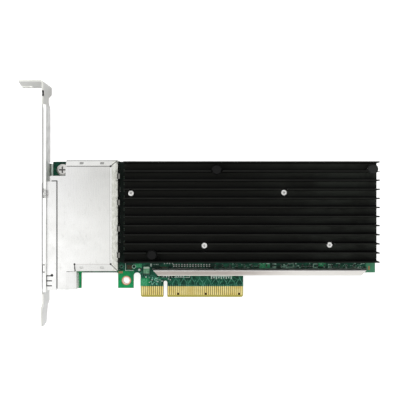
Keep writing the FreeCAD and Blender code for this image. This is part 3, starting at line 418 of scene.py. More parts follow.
def bracket_plate():
    """Bracket: nickel plate, duller on sheared edges, with painted shade on inner faces, bends,
    tabs and notch.
    """
    finish = Finish("bracket_steel", metallic=1.0, roughness=0.34)
    on_front = finish.facing("z")
    rolled = finish.noise(0.25, 2.0, (1, 40, 1))
    stain = finish.noise(9.0, 4.0)
    tone = finish.blend(stain, 0.35, 0.7, srgb(246, 246, 244), srgb(232, 232, 230))
    tone = finish.over(tone, finish.span(rolled, 0.3, 0.8), srgb(220, 220, 218), 0.25)

    # Painted shade on the inner faces of the head, the tongue and the panel, streaky on the panel,
    # and on the face that looks outwards
    flange_top = bracket_high.y - 12.0 * MM
    head = finish.within("y", flange_top, bracket_high.y + past, 0.15)
    tongue = finish.within("y", bracket_low.y - past, 4.2 * MM, 0.15)
    panel = finish.within("y", shield_high.y - 7.0 * MM, flange_top, 1.0)
    inner = finish.maths("ADD", finish.facing("x"), finish.facing("y", -1.0))
    streaked_shade = finish.blend(finish.noise(1.6, 4.0, (1, 2.5, 1)), 0.4, 0.65,
                            srgb(240, 240, 239), srgb(208, 208, 206))
    tone = finish.over(tone, finish.both(inner, head), srgb(210, 210, 206))
    tone = finish.over(tone, finish.both(inner, tongue), srgb(226, 227, 220))
    tone = finish.over(tone, finish.both(inner, panel), streaked_shade)
    tone = finish.over(tone, finish.facing("x", -1.0), srgb(176, 176, 174))

    # Painted shade along the bend into the flange, narrower beside the jacks and lighter lower down
    outside = bracket_outer - past
    bend = finish.within("x", outside, bracket_outer + 0.75 * MM, 0.05)
    rim = finish.both(finish.within("x", outside, bracket_outer + 1.15 * MM, 0.08), on_front)
    bend_shade = finish.both(finish.either(bend, rim), finish.within("y", 52 * MM, flange_top, 3.0))
    tone = finish.over(tone, bend_shade, srgb(152, 152, 151))
    low_fold_shade = finish.area((outside, bracket_outer + 0.6 * MM), (-9 * MM, 52 * MM), 0.08, 0.5)
    tone = finish.over(tone, low_fold_shade, srgb(172, 172, 171))

    # Spring tabs of the flange: blotchy painted shade at the upper one, a painted shadow outline
    # round the lower one
    blotchy_tab_shade = finish.both(finish.patch((-60.1, -57.7), around(upper_spring, 2.2), 0.4),
                         finish.span(finish.noise(0.5, 4.0), 0.34, 0.62))
    tone = finish.over(tone, finish.both(blotchy_tab_shade, on_front), srgb(128, 128, 126))
    outline = finish.maths("SUBTRACT",
                           finish.patch((-59.9, -58.2), around(lower_spring, 2.0), 0.15),
                           finish.patch((-59.35, -58.45), around(lower_spring, 1.4), 0.15))
    tone = finish.over(tone, finish.both(outline, on_front), srgb(140, 140, 138), 0.7)

    # Inner face close to the card: a haze that mirrors less
    hazed = finish.both(inner, finish.either(finish.within("y", 15 * MM, 68 * MM, 1.0), tongue))
    finish.feed(finish.shader.inputs["Metallic"],
                finish.maths("SUBTRACT", 1.0, finish.both(hazed, 0.75)))
    tone = finish.over(tone, hazed, srgb(250, 250, 249))

    # Upper ear: painted green reflection of the board beside it, painted shade in its bend
    ear = finish.both(finish.within("z", back - 1.5 * MM, front, 0.1),
                      finish.both(finish.within("y", 55 * MM, 70 * MM, 0.1), on_front))
    board_reflection_band = finish.within("x", -58.35 * MM, -56 * MM, 0.1)
    ear_bend_shade = finish.within("x", -59.2 * MM, -58.35 * MM, 0.1)
    tone = finish.over(tone, finish.both(ear, board_reflection_band), srgb(214, 228, 220))
    tone = finish.over(tone, finish.both(ear, ear_bend_shade), srgb(96, 106, 101))

    # Sheared edges of head and tongue, and painted shade in the notch under the tab
    cut_edges = finish.both(finish.either(head, tongue), on_front)
    tone = finish.over(tone, cut_edges, finish.blend(stain, 0.35, 0.65,
                                                     srgb(222, 222, 217), srgb(202, 203, 197)))
    notch = bracket_high.y - 6.5 * MM
    notch_shade = finish.both(
        finish.within("y", notch - 1.5 * MM, notch + 1.5 * MM, 0.15),
        finish.both(finish.within("x", -60.2 * MM, -58.9 * MM, 0.1),
                    finish.within("z", bracket_high.z - 1.7 * MM, bracket_high.z - 0.12 * MM, 0.1)))
    tone = finish.over(tone, notch_shade, srgb(40, 40, 40))
    finish.colour(finish.over(tone, finish.edges(0.15), srgb(244, 244, 242), 0.3))
    finish.roughness(rolled, 0.2, 0.8, 0.27, 0.41)
    finish.bump(rolled, 0.004, 0.08)
    return finish.material


def tin_shield():
    """Jack shield: bright tin plate with painted light and shade: paler towards one corner, shaded
    at dimples, edges, folds and hooks.
    """
    finish = Finish("tin_plate", metallic=1.0, roughness=0.26)
    rolled = finish.noise(0.25, 2.0, (1, 40, 1))
    stain = finish.noise(9.0, 4.0)
    smear = finish.noise(2.2, 4.0, (1, 2, 1))
    # Painted light: brightest towards low X and low Y, darker towards the rear and the high side
    fall = finish.span(finish.axis["x"], shield_low.x, shield_high.x)
    rise = finish.both(finish.span(finish.axis["y"], 28 * MM, 64 * MM),
                       finish.within("y", 0.0, 66.2 * MM, 0.1))
    tone = finish.mix(rise, finish.mix(fall, srgb(255, 255, 254), srgb(232, 232, 229)),
                      finish.mix(fall, srgb(226, 226, 226), srgb(200, 200, 197)))
    tone = finish.over(tone, finish.span(stain, 0.35, 0.7), srgb(222, 222, 219), 0.5)
    tone = finish.over(tone, finish.span(rolled, 0.35, 0.8), srgb(206, 206, 203), 0.3)
    tone = finish.over(tone, finish.span(smear, 0.58, 0.72), srgb(196, 196, 193), 0.22)

    # Pressed dimples, two near each end, with painted shade: dark on the high side, fainter on the
    # low side
    low, high = shield_low.y / MM + 10.2, shield_high.y / MM - 1.3
    for x in (-40.8, -30.7):
        dimple = around(x, 0.9)
        tone = finish.over(tone, finish.patch(dimple, (high - 0.85, high + 0.25)),
                           srgb(124, 124, 122), 0.7)
        tone = finish.over(tone, finish.patch(dimple, (low + 0.1, low + 1.2)),
                           srgb(186, 186, 182), 0.4)

    # The fold down to the rear, with a painted highlight on its crest and painted shade in its
    # crease
    rear_fold = shield_high.x - 4.2 * MM
    slope = finish.within("x", rear_fold + 0.5 * MM, shield_high.x + past, 0.1)
    worn = finish.blend(finish.noise(1.1, 3.0, (1, 2, 1)), 0.4, 0.62,
                        srgb(204, 205, 192), srgb(240, 241, 232))
    tone = finish.over(tone, slope, worn, 0.6)
    crest_highlight = finish.area((rear_fold - 0.1 * MM, rear_fold + 0.4 * MM),
                        (20 * MM, shield_high.y - 3 * MM), 0.1, 0.3)
    tone = finish.over(tone, crest_highlight, srgb(255, 255, 254), 0.7)
    crease_shade = finish.area((rear_fold - 0.45 * MM, rear_fold - 0.2 * MM),
                         (18 * MM, shield_high.y - 2.8 * MM), 0.1, 0.3)
    tone = finish.over(tone, crease_shade, srgb(168, 168, 164), 0.7)
    # Painted shade along the fold on the low side
    low_fold_shade = finish.area((-43.6 * MM, rear_fold), (17.7 * MM, 17.95 * MM), 0.2, 0.1)
    tone = finish.over(tone, low_fold_shade, srgb(186, 178, 176), 0.6)

    # Blotchy painted shade beside the upper spring tab, and the rim at the top
    blotchy_shade = finish.both(finish.patch((-58.6, -56.7), around(upper_spring - 0.1, 1.9), 0.3),
                         finish.span(finish.noise(0.5, 4.0), 0.34, 0.62))
    tone = finish.over(tone, blotchy_shade, srgb(112, 107, 103), 0.75)
    rim = finish.both(finish.within("y", shield_high.y - 0.42 * MM, shield_high.y + past, 0.1),
                      finish.facing("z"))
    tone = finish.over(tone, rim, srgb(150, 150, 148), 0.8)

    # Hooks at the rear: painted shade on them, darkest where they leave the sheet
    rear = shield_high.x / MM
    first_hook, hook_pitch = 22.05, 13.05
    hook_shade = finish.within("x", shield_high.x - 1.0 * MM, shield_high.x + past, 0.08)
    tone = finish.over(tone, hook_shade, srgb(138, 138, 134))
    for i in range(4):
        hook = around(first_hook + hook_pitch * i, 1.3)
        tone = finish.over(tone, finish.patch((rear - 1.45, rear + 1), hook),
                           srgb(122, 122, 118), 0.8)
        tone = finish.over(tone, finish.patch((rear - 1.3, rear - 0.75), hook),
                           srgb(52, 52, 50), 0.85)
    # Painted shade along every edge and fold
    finish.colour(finish.over(tone, finish.edges(0.16), srgb(120, 120, 117), 0.7))
    finish.roughness(rolled, 0.2, 0.8, 0.2, 0.34)
    finish.bump(rolled, 0.004, 0.08)
    return finish.material


def stud_metal():
    """Swaged studs: plain heads with painted shade round the rim."""
    finish = Finish("stud_metal", metallic=1.0, roughness=0.42)
    turned = finish.noise(0.3, 3.0)
    tone = finish.blend(turned, 0.3, 0.7, srgb(254, 254, 252), srgb(232, 232, 229))
    # Painted shade round the rim of each head
    finish.colour(finish.over(tone, finish.edges(0.4), srgb(48, 48, 46), 0.95))
    finish.roughness(turned, 0.2, 0.8, 0.36, 0.5)
    finish.bump(turned, 0.004, 0.08)
    return finish.material


def nylon():
    """Black nylon pins, scuffed grey on the one at the far corner of the card."""
    finish = Finish("nylon", roughness=0.6, specular=0.15)
    fine = finish.noise(0.3, 3.0)
    tone = finish.blend(fine, 0.3, 0.7, srgb(13, 13, 13), srgb(18, 18, 18))
    tone = finish.over(tone, finish.within("x", 95 * MM, 112 * MM),
                       finish.blend(fine, 0.35, 0.65, srgb(34, 35, 34), srgb(46, 48, 47)))
    finish.colour(finish.over(tone, finish.edges(0.12), srgb(38, 38, 37), 0.6))
    finish.roughness(fine, 0.3, 0.7, 0.54, 0.68)
    finish.bump(fine, 0.01, 0.08)
    return finish.material


def regulator():
    """Small moulded packages: one has a pale green cap, paler along its upper edge."""
    finish = Finish("regulator", roughness=0.5)
    fine = finish.noise(0.15, 3.0)
    cap = finish.blend(finish.noise(0.9, 3.0), 0.4, 0.6, srgb(128, 186, 146), srgb(84, 148, 112))
    cap = finish.over(cap, finish.within("y", 14.6 * MM, 15.4 * MM, 0.1), srgb(206, 224, 206))
    cap = finish.over(cap, finish.within("y", 11 * MM, 12.1 * MM, 0.1), srgb(24, 40, 32))
    capped = finish.both(finish.patch((-12.5, -6.5), (11, 16)), finish.facing_up())
    finish.colour(finish.mix(capped, srgb(38, 38, 40), cap))
    finish.roughness(fine, 0.3, 0.7, 0.42, 0.6)
    finish.bump(fine, 0.01, 0.08)
    return finish.material


def satin_bar():
    """Stiffener bar: satin metal brushed along its length, warmer in the middle of the web, with
    painted highlights along its long edges.
    """
    finish = Finish("bar_metal", metallic=1.0, roughness=0.42)
    brushed = finish.noise(0.12, 3.0, (30, 1, 1))
    cloud = finish.noise(14.0, 3.0, (3, 1, 1))
    warm = finish.blend(cloud, 0.3, 0.7, srgb(196, 186, 180), srgb(180, 172, 165))
    warm = finish.over(warm, finish.span(brushed, 0.3, 0.75), srgb(150, 142, 138), 0.5)
    fade = finish.span(finish.axis["x"], 30 * MM, 72 * MM)
    warm = finish.over(warm, fade, srgb(230, 227, 222))
    # Painted highlights along both long edges, outside the web
    rim = finish.blend(cloud, 0.3, 0.7, srgb(255, 255, 252), srgb(246, 246, 243))
    web = finish.within("y", bar_low.y + 0.5 * MM, bar_high.y - 1.05 * MM, 0.15)
    finish.colour(finish.mix(web, rim, warm))
    finish.roughness(brushed, 0.2, 0.8, 0.36, 0.5)
    finish.bump(brushed, 0.006, 0.08)
    return finish.material


def dress_nodes():
    """Every CAD node gets the procedural material of its slot, or one made for the node."""
    finishes = {
        "laminate": solder_mask(),
        "gold": gold_plate(),
        "copper": copper_ring(),
        "bracket_steel": bracket_plate(),
        "screw_steel": screw_plate(),
        "tin_plate": tin_shield(),
        "jack_plastic": moulded("jack_plastic", srgb(26, 26, 28), 0.5),
        "lens_plastic": clear_lens(),
        "potting": moulded("potting", srgb(34, 34, 36), 0.4),
        "solder_tin": sheet_metal("solder_tin", srgb(222, 222, 220), srgb(180, 180, 180), 0.32),
        "black_anodised": black_anodised(),
        "stud_metal": stud_metal(),
        "nylon": nylon(),
        "spring_steel": sheet_metal("spring_steel", srgb(190, 190, 190), srgb(120, 120, 122), 0.3),
        "pad_rubber": moulded("pad_rubber", srgb(160, 168, 176), 0.8, depth=0.02),
        "chip_mould": moulded("chip_mould", srgb(38, 38, 40), 0.55, grain=0.12),
        "bar_metal": satin_bar(),
        "capacitor_body": moulded("capacitor_body", srgb(78, 74, 56), 0.45, grain=0.1),
        "resistor_body": moulded("resistor_body", srgb(24, 25, 28), 0.3, grain=0.1),
        "ferrite": moulded("ferrite", srgb(96, 96, 100), 0.6),
        "can_metal": sheet_metal("can_metal", srgb(222, 220, 210), srgb(190, 186, 176), 0.3),
        "voltage_regulators": regulator(),
    }
    for row in frame["record"]["subparts"]:
        node = frame["nodes"][row["node"]]
        node.data.materials.clear()
        node.data.materials.append(finishes.get(row["node"], finishes[row["material_slot"]]))
    return finishes


finishes = dress_nodes()
tinned = finishes["solder_tin"]
silk_ink = printed("silk_ink", srgb(226, 240, 232), srgb(176, 206, 192), 0.3)
dim_ink = printed("dim_ink", srgb(120, 172, 152), srgb(78, 136, 112), 0.4)
teal_ink = printed("teal_ink", srgb(150, 214, 190), srgb(70, 158, 130))
pale_ink = printed("pale_ink", srgb(206, 240, 222), srgb(146, 200, 174), 0.3)
track_mask = printed("track_mask", srgb(96, 166, 140), srgb(60, 132, 106), 1.2, 0.4)
pad_solder = printed("pad_solder", srgb(240, 248, 242), srgb(186, 204, 194), 0.3, 0.35)
# Dull solder, also used as painted shade on the capacitor ends in the gap beside the jacks
dull_and_shaded_solder = printed("dull_and_shaded_solder", srgb(112, 138, 124), srgb(70, 98, 84), 0.3, 0.4)
bare_copper = printed("bare_copper", srgb(196, 160, 112), srgb(150, 116, 78), 0.4, 0.4)
dull_copper = printed("dull_copper", srgb(92, 72, 52), srgb(56, 58, 42), 0.4, 0.4)
dark_hole = printed("dark_hole", srgb(10, 22, 18), srgb(18, 34, 28), 0.4, 0.5)


# -------- building blocks
# Places are in millimetres; levels (z) are pairs or rows of heights in metres

def add_piece(name, shape, material, bevel=0.0):
    """A new piece that rides on the card, its edges bevelled by a small width in millimetres."""
    if bevel:
        bmesh.ops.bevel(shape, geom=shape.edges[:], offset=bevel * MM, segments=2, profile=0.6,
                        affect="EDGES")
    bmesh.ops.recalc_face_normals(shape, faces=shape.faces[:])
    mesh = bpy.data.meshes.new(name)
    shape.to_mesh(mesh)
    shape.free()
    mesh.materials.append(material)
    piece = bpy.data.objects.new(name, mesh)
    bpy.context.scene.collection.objects.link(piece)
    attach(piece, "root")


def join_loops(shape, first, second):
    """Side faces between two loops of vertices."""
    for i in range(len(first)):
        j = (i + 1) % len(first)
        shape.faces.new((first[i], first[j], second[j], second[i]))


def add_prism(shape, outline, z):
    """Upright prism over an outline of (x, y) places between two levels."""
    bottom, top = [[shape.verts.new((x * MM, y * MM, level)) for x, y in outline] for level in z]
    shape.faces.new(bottom[::-1])
    shape.faces.new(top)
    join_loops(shape, bottom, top)


def add_plate(shape, x, y, z):
    """Flat rectangle between two pairs of places."""
    add_prism(shape, [(x[0], y[0]), (x[1], y[0]), (x[1], y[1]), (x[0], y[1])], z)


def add_plates(shape, spans, z):
    """Flat rectangles, each between two pairs of places."""
    for x, y in spans:
        add_plate(shape, x, y, z)


def add_row(shape, starts, width, y, z):
    """Equal flat rectangles, each from a start along X."""
    for x in starts:
        add_plate(shape, (x, x + width), y, z)


def add_speck(shape, x, y, lengths, heights, z):
    """Flat rectangle from a corner, with a random length and height."""
    add_plate(shape, (x, x + random.uniform(*lengths)), (y, y + random.uniform(*heights)), z)


def add_strokes(shape, count, reach, rows, lengths, height, z):
    """Short flat strokes of random length at random places in a few rows."""
    for _ in range(count):
        x, y = random.uniform(*reach), random.choice(rows)
        add_plate(shape, (x, x + random.uniform(*lengths)), (y, y + height), z)


def add_line(shape, points, width, z):
    """Flat line of even width through points, with mitred turns."""
    count = len(points)
    left, right = [], []
    for i in range(count):
        before = Vector(points[max(i - 1, 0)])
        here = Vector(points[i])
        after = Vector(points[min(i + 1, count - 1)])
        first = (here - before).normalized() if i else (after - here).normalized()
        second = (after - here).normalized() if i < count - 1 else first
        side = Vector((-first.y - second.y, first.x + second.x)).normalized()
        reach = width / 2 / max(0.4, side.dot(Vector((-first.y, first.x))))
        left.append(tuple(here + side * reach))
        right.append(tuple(here - side * reach))
    for i in range(count - 1):
        add_prism(shape, [right[i], right[i + 1], left[i + 1], left[i]], z)


def add_frame(shape, x, y, width, z):
    """Outline of a rectangle drawn with a line."""
    add_plate(shape, x, (y[0], y[0] + width), z)
    add_plate(shape, x, (y[1] - width, y[1]), z)
    add_plate(shape, (x[0], x[0] + width), (y[0] + width, y[1] - width), z)
    add_plate(shape, (x[1] - width, x[1]), (y[0] + width, y[1] - width), z)


def add_loops(shape, x, y, radii, levels, sides):
    """Loops of vertices about a point: a radius at each level."""
    turns = [2 * math.pi * i / sides for i in range(sides)]
    return [[shape.verts.new(((x + radius * math.cos(turn)) * MM,
                              (y + radius * math.sin(turn)) * MM, level)) for turn in turns]
            for radius, level in zip(radii, levels)]


def add_ring(shape, x, y, inner, outer, z, sides=20):
    """Flat ring about a point."""
    low, high = z
    loops = add_loops(shape, x, y, (inner, outer, outer, inner), (low, low, high, high), sides)
    for i in range(4):
        join_loops(shape, loops[i], loops[(i + 1) % 4])


def add_mound(shape, x, y, radii, levels, sides=12):
    """Turned mound about a point: a radius at each level, closed at both ends."""
    loops = add_loops(shape, x, y, radii, levels, sides)
    for first, second in zip(loops, loops[1:]):
        join_loops(shape, first, second)
    shape.faces.new(loops[0][::-1])
    shape.faces.new(loops[-1])


def islands(node):
    """Lowest and highest corner of every loose solid of a CAD node."""
    mesh = frame["nodes"][node].data
    keys = [tuple(round(c, 6) for c in v.co) for v in mesh.vertices]
    parent = {k: k for k in keys}

    def root(k):
        while parent[k] != k:
            parent[k] = parent[parent[k]]
            k = parent[k]
        return k

    for face in mesh.polygons:
        first = root(keys[face.vertices[0]])
        for i in face.vertices[1:]:
            parent[root(keys[i])] = first
    groups = {}
    for k in parent:
        groups.setdefault(root(k), []).append(k)
    boxes = []
    for points in groups.values():
        low = [min(p[i] for p in points) / MM for i in range(3)]
        high = [max(p[i] for p in points) / MM for i in range(3)]
        boxes.append((low, high))
    return sorted(boxes)


# Coats lie just over the board: from under the mask to a few hundredths of a millimetre over it
coat_low = front - 0.01 * MM
coat = (coat_low, front + 0.025 * MM)
ink = (coat_low, front + 0.03 * MM)
back_coat = (back - 0.025 * MM, back + 0.01 * MM)
jack_gap_end = sink_low.x / MM
contact_top = contact_high.y / MM
chip_centres = ((1.4, 39.65), (71.1, 40.0))  # of the two chips under the heat sink
pair_pitch = 4.05  # of the paired tracks that part to the contacts


# -------- chip ends and joints

def end_caps(name, node, share, material, keep=lambda x: True, on_back=False):
    """Tinned ends that cover a share of each small chip, with solder fillets beside them."""
    shape = bmesh.new()
    skin, fillet_reach, fillet_height = 0.035, 0.2, 0.16
    for low, high in islands(node):
        if not keep(low[0]):
            continue
        long_axis = 0 if high[0] - low[0] > high[1] - low[1] else 1
        length = high[long_axis] - low[long_axis]
        if on_back:
            cap_levels = ((low[2] - skin) * MM, back)
            fillet_levels = (back - fillet_height * MM, back)
        else:
            cap_levels = (front, (high[2] + skin) * MM)
            fillet_levels = (front, front + fillet_height * MM)
        for at_high in (False, True):
            cap = [[low[0] - skin, high[0] + skin], [low[1] - skin, high[1] + skin]]
            fillet = [list(cap[0]), list(cap[1])]
            if at_high:
                cap[long_axis][0] = high[long_axis] - share * length
                fillet[long_axis] = [high[long_axis], high[long_axis] + fillet_reach]
            else:
                cap[long_axis][1] = low[long_axis] + share * length
                fillet[long_axis] = [low[long_axis] - fillet_reach, low[long_axis]]
            add_plate(shape, cap[0], cap[1], cap_levels)
            add_plate(shape, fillet[0], fillet[1], fillet_levels)
    add_piece(name, shape, material, 0.03)


def back_joints():
    """Solder cones round the jack's pins on the solder side, each on its pad."""
    cones, pads = bmesh.new(), bmesh.new()
    for low, high in islands("jack_solder_pins"):
        x, y = (low[0] + high[0]) / 2, (low[1] + high[1]) / 2
        add_mound(cones, x, y, (0.92, 0.86, 0.58, 0.42, 0.36),
                  [back - depth * MM for depth in (-0.01, 0.05, 0.24, 0.5, 0.78)])
        add_ring(pads, x, y, 0.8, 1.05, back_coat)
    add_piece("back_joints", cones, tinned)
    add_piece("back_pin_pads", pads, pad_solder)


# -------- tracks and print

def add_finger_pairs(shape, top, z):
    """Pairs of tracks that come down side by side and part to two contacts each."""
    first_pair, part_from, part_to = 37.7, 9.25, 7.1
    for i in range(9):
        middle = first_pair - i * pair_pitch
        for side in (-1, 1):
            x, foot = middle + side * 0.2, middle + side * 1.65
            add_line(shape, [(x, top), (x, part_from), (foot, part_to), (foot, contact_top)], 0.24,
                     z)


def finger_tracks():
    """Tracks between the bar and the contacts, and the dark gaps above the contacts."""
    shape = bmesh.new()
    add_finger_pairs(shape, bar_low.y / MM + 0.6, coat)
    first_single = 35.65
    for i in range(8):
        x = first_single - i * pair_pitch
        add_line(shape, [(x, 8.7), (x - 0.5, 7.9), (x - 0.5, contact_top)], 0.2, coat)
    add_piece("finger_tracks", shape, track_mask)
    shape = bmesh.new()
    for low, high in islands("front_edge_contacts"):
        x = (low[0] + high[0]) / 2
        end = contact_top + 0.75 + 0.35 * random.random()
        add_line(shape, [(x, contact_top - 0.1), (x, end)], 0.26, coat)
    add_piece("contact_tracks", shape, track_mask)
    shape = bmesh.new()
    for i in range(38):
        if random.random() < 0.55:
            y = contact_top + 0.55 + 0.25 * random.random()
            add_mound(shape, 2.0 + i, y, (0.3, 0.3), coat, 10)
    add_piece("track_gaps", shape, dark_hole)


def strip_tracks():
    """Tracks and vias on the strip between the heat sink and the bar, and by the key notch."""
    shape = bmesh.new()
    for i in range(44):
        x = 3.0 + i * 2.26 + random.uniform(-0.3, 0.3)
        y = random.choice((14.95, 17.55))
        run = random.uniform(0.5, 1.6)
        add_line(shape, [(x, y), (x + run, y + random.uniform(-0.15, 0.15))], 0.18, coat)
    for i in range(9):
        x, drop = -13.5 + i * 1.05, 0.3 * i
        add_line(shape, [(x, 13.2 - drop), (x + 0.9, 12.4 - drop), (x + 0.9, 10.9 - drop)], 0.16,
                 coat)
    add_piece("strip_tracks", shape, track_mask)

    shape = bmesh.new()
    for x, y in ((-0.5, 17.1), (0.9, 17.1), (2.2, 17.1), (3.6, 17.1), (-9.9, 10.2), (92.1, 14.9),
                 (98.0, 14.9)):
        add_mound(shape, x, y, (0.36, 0.3), (coat_low, front + 0.12 * MM))
    for i in range(10):
        add_mound(shape, 69.2 + 0.6 * i, 15.6, (0.14, 0.14), ink, 8)
    add_mound(shape, -13.3, 13.9, (0.62, 0.55, 0.3),
              (coat_low, front + 0.1 * MM, front + 0.2 * MM), 16)
    add_row(shape, [-2.2 + 1.22 * i for i in range(10)], 0.6, (10.05, 10.7), ink)
    add_piece("bright_spots", shape, pad_solder)

    shape = bmesh.new()
    for _ in range(22):
        x, y = random.uniform(-8.6, -2.6), random.uniform(6.2, 9.6)
        add_speck(shape, x, y, (0.5, 1.1), (0.3, 0.7), ink)
    add_piece("teal_spots", shape, teal_ink)

    ringed_holes = ((-16.0, 15.5, 0.95, 0.62), (-22.3, 15.6, 0.9, 0.56), (66.2, 15.6, 0.8, 0.46))
    shape = bmesh.new()
    for x, y, outer, _ in ringed_holes:
        add_ring(shape, x, y, outer - 0.32, outer, coat)
    for _ in range(26):
        x = random.uniform(-14, 100)
        add_ring(shape, x, random.choice((14.95, 17.75)), 0.13, 0.27, coat, 12)
    add_piece("via_rings", shape, dim_ink)

    shape = bmesh.new()
    for x, y, _, hole in ringed_holes:
        add_mound(shape, x, y, (hole, hole), (coat_low, coat_low + 0.02 * MM), 16)
    for x in (-4.0, -2.2, -0.2, 2.6, 4.1):
        add_plate(shape, around(x, 0.45), (9.95, 10.85), (coat_low, front + 0.05 * MM))
    add_piece("dark_pads", shape, dark_hole)

    shape = bmesh.new()
    add_plates(shape, (((103.1, 104.1), (13.8, 15.8)), ((-23.9, -21.7), (12.1, 13.1))), coat)
    add_piece("copper_patches", shape, bare_copper)
    shape = bmesh.new()
    add_plates(shape, (((-19.6, -16.9), (14.1, 16.3)), ((-2.5, 0.4), (15.0, 15.45)),
                       ((-12.9, -12.5), (12.9, 14.9))), coat)
    add_piece("dull_patches", shape, dull_copper)


def silk_print():
    """Plain printed outlines and strokes, without any lettering."""
    shape = bmesh.new()
    add_frame(shape, (2.4, 12.5), (9.95, 11.25), 0.24, ink)
    add_plate(shape, (23.0, 34.0), (10.4, 10.7), ink)
    for i in range(9):
        x = 23.2 + i * 1.25
        add_plate(shape, (x, x + 0.55), (9.2 + 0.35 * (i % 2), 10.4), ink)
    add_line(shape, [(-20.3, 17.1), (-20.3, 13.5), (-16.2, 13.5)], 0.26, ink)
    for x, y in ((-8.6, 9.6), (-7.3, 8.6), (-8.5, 7.4), (-7.2, 6.6), (-4.6, 9.0), (-3.1, 8.7),
                 (-4.4, 7.6), (-3.3, 6.9), (-2.2, 8.0), (1.2, 9.0), (2.2, 8.6)):
        add_speck(shape, x, y, (0.5, 1.1), (0.25, 0.45), ink)
    add_plate(shape, (-7.8, -6.9), (15.6, 17.0), ink)
    add_row(shape, (-6.0, -4.9, -4.0), 0.5, (16.4, 16.8), ink)
    add_piece("silk_print", shape, silk_ink)


def strip_print():
    """Plain pale strokes, frames and rings between the heat sink and the bar."""
    shape = bmesh.new()
    add_plate(shape, (51.4, 53.0), (16.7, 17.3), ink)
    for x, y in ((59.4, 15.2), (60.0, 16.1), (61.5, 14.7), (61.8, 16.0), (63.0, 16.6),
                 (64.4, 16.8), (66.0, 16.7), (67.2, 15.6), (68.0, 14.8), (73.3, 16.9),
                 (79.0, 16.6), (80.4, 15.0)):
        add_speck(shape, x, y, (0.35, 0.9), (0.4, 0.7), ink)
    add_strokes(shape, 30, (34.0, 50.0), (15.0, 15.6, 16.3, 16.9), (0.3, 0.8), 0.25, ink)
    add_plates(shape, (((54.5, 56.4), (16.5, 17.1)), ((54.5, 56.4), (14.9, 15.5))), ink)
    add_frame(shape, (62.4, 65.2), (15.1, 17.2), 0.3, ink)
    add_frame(shape, (75.1, 77.5), (14.9, 17.0), 0.4, ink)
    add_row(shape, (58.8, 60.2, 61.1), 0.45, (14.9, 16.3), ink)
    for x, y in ((83.2, 16.5), (83.2, 15.2), (84.3, 16.5), (84.3, 15.2)):
        add_mound(shape, x, y, (0.45, 0.4), ink)
    add_row(shape, (86.8, 88.0, 96.0, 99.4, 100.5), 0.9, (16.9, 17.2), ink)
    add_strokes(shape, 26, (84.0, 101.0), (15.1, 15.8, 16.5), (0.25, 0.6), 0.3, ink)
    for x, y, outer in ((-16.0, 15.5, 1.05), (98.9, 15.2, 0.7)):
        add_ring(shape, x, y, outer - 0.24, outer, ink)
    add_piece("strip_print", shape, pale_ink)

    shape = bmesh.new()
    add_plates(shape, (((47.6, 53.2), (14.9, 17.3)), ((77.9, 81.5), (15.6, 17.4)),
                       ((-15.4, -12.0), (15.0, 17.0)), ((-12.7, -9.2), (5.6, 9.4))),
               (coat_low, front + 0.012 * MM))
    add_piece("thin_mask_patches", shape,
              printed("thin_mask", srgb(84, 184, 132), srgb(36, 150, 94), 0.7, 0.4))


def back_print():
    """Plain outlines, vias and tracks on the solder side."""
    shape = bmesh.new()
    for x, y in chip_centres:
        for reach in (8.6, 12.9):
            add_frame(shape, around(x, reach), around(y, reach), 0.22, back_coat)
    for low, high in islands("back_capacitors"):
        add_frame(shape, (low[0] - 0.5, high[0] + 0.5), (low[1] - 0.4, high[1] + 0.4), 0.16,
                  back_coat)
    add_piece("back_silk", shape, silk_ink)

    shape = bmesh.new()
    for _ in range(150):
        x, y = random.uniform(-40, 103), random.uniform(16, 66)
        add_ring(shape, x, y, 0.16, 0.36, back_coat, 10)
    for x, y in chip_centres:
        for i in range(11):
            for j in range(11):
                if (i + j) % 2:
                    add_ring(shape, x - 10 + 2 * i, y - 10 + 2 * j, 0.14, 0.3, back_coat, 8)
    add_piece("back_vias", shape, dim_ink)

    shape = bmesh.new()
    for i in range(14):
        y, bend = 18 + i * 3.4, random.uniform(4, 16)
        add_line(shape, [(-26, y), (-26 + bend, y), (-22 + bend, y + 4), (-9, y + 4)], 0.2,
                 back_coat)
    add_finger_pairs(shape, 26, back_coat)
    for i in range(10):
        y, bend = 20 + i * 4.2, 92 - i * 0.5
        add_line(shape, [(84, y), (bend, y), (bend + 4, y + 3), (104, y + 3)], 0.2, back_coat)
    add_piece("back_tracks", shape, track_mask)


end_caps("capacitor_ends", "chip_capacitors", 0.34, pad_solder, lambda x: x > jack_gap_end)
# Capacitor ends in the gap beside the jacks take the darker solder as painted shade
end_caps("gap_capacitor_ends", "chip_capacitors", 0.26, dull_and_shaded_solder, lambda x: x <= jack_gap_end)
end_caps("resistor_ends", "chip_resistors", 0.24, dull_and_shaded_solder)
end_caps("back_capacitor_ends", "back_capacitors", 0.27, tinned, on_back=True)
back_joints()
finger_tracks()
strip_tracks()
silk_print()
strip_print()
back_print()


# -------- stage

def switched(nodes, links, kinds, low, high):
    """A level that is high for the named kinds of ray and low for the rest."""
    path = nodes.new("ShaderNodeLightPath")
    total = path.outputs[kinds[0]]
    for kind in kinds[1:]:
        join = nodes.new("ShaderNodeMath")
        join.operation = "MAXIMUM"
        links.new(total, join.inputs[0])
        links.new(path.outputs[kind], join.inputs[1])
        total = join.outputs[0]
    level = nodes.new("ShaderNodeMapRange")
    links.new(total, level.inputs["Value"])
    level.inputs["To Min"].default_value = low
    level.inputs["To Max"].default_value = high
    return level.outputs[0]


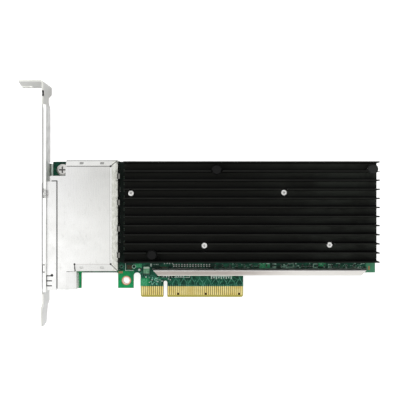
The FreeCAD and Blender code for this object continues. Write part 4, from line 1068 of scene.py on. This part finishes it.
def plain_floor():
    """White floor just under the card, which keeps a faint shadow."""
    size = 3.0
    level = cad_low.z - 0.2 * MM
    mesh = bpy.data.meshes.new("floor")
    corners = [(-size, -size, level), (size, -size, level), (size, size, level),
               (-size, size, level)]
    mesh.from_pydata(corners, [], [(0, 1, 2, 3)])
    floor = bpy.data.objects.new("floor", mesh)
    bpy.context.scene.collection.objects.link(floor)
    material = bpy.data.materials.new("floor_white")
    material.use_nodes = True
    nodes, links = material.node_tree.nodes, material.node_tree.links
    shader = nodes["Principled BSDF"]
    shader.inputs["Base Color"].default_value = (0.86, 0.86, 0.86, 1)
    shader.inputs["Roughness"].default_value = 0.9
    shader.inputs["Specular IOR Level"].default_value = 0.0
    shader.inputs["Emission Color"].default_value = (1, 1, 1, 1)
    mirrored = switched(nodes, links, ("Is Glossy Ray", "Is Transmission Ray"), 0.0, 0.15)
    seen = switched(nodes, links, ("Is Camera Ray",), 0.0, 0.75)
    glow = nodes.new("ShaderNodeMath")
    links.new(mirrored, glow.inputs[0])
    links.new(seen, glow.inputs[1])
    links.new(glow.outputs[0], shader.inputs["Emission Strength"])
    mesh.materials.append(material)


def studio_light():
    """Even pale surroundings, seen as white, and one large soft box up on the left."""
    world = bpy.data.worlds.new("studio")
    bpy.context.scene.world = world
    world.use_nodes = True
    nodes, links = world.node_tree.nodes, world.node_tree.links
    background = nodes["Background"]
    background.inputs["Color"].default_value = (1, 1, 1, 1)
    rays = ("Is Camera Ray", "Is Glossy Ray", "Is Transmission Ray")
    links.new(switched(nodes, links, rays, 0.65, 1.0), background.inputs["Strength"])
    soft_box = bpy.data.lights.new("soft_box", "AREA")
    soft_box.shape = "RECTANGLE"
    soft_box.size = soft_box.size_y = 1.1
    soft_box.energy = 5.5
    lamp = bpy.data.objects.new("soft_box", soft_box)
    lamp.location = (-0.85, 0.3, 0.75)
    aim = Vector((0.0, 0.04, 0.0)) - lamp.location
    lamp.rotation_euler = aim.to_track_quat("-Z", "Y").to_euler()
    bpy.context.scene.collection.objects.link(lamp)


def place_camera():
    """Straight down on the component side, from about arm's length, top edge up."""
    middle_x, middle_y = board_low.x + 74.75 * MM, 49.4 * MM
    eye_height = 0.3918
    frame_width = 0.2036  # width of the picture at the height of the board
    data = bpy.data.cameras.new("camera")
    data.sensor_width = 36
    data.lens = data.sensor_width * (eye_height - front) / frame_width
    data.clip_start = 0.01
    camera = bpy.data.objects.new("camera", data)
    camera.location = (middle_x, middle_y, eye_height)
    bpy.context.scene.collection.objects.link(camera)
    bpy.context.scene.camera = camera


plain_floor()
studio_light()
place_camera()
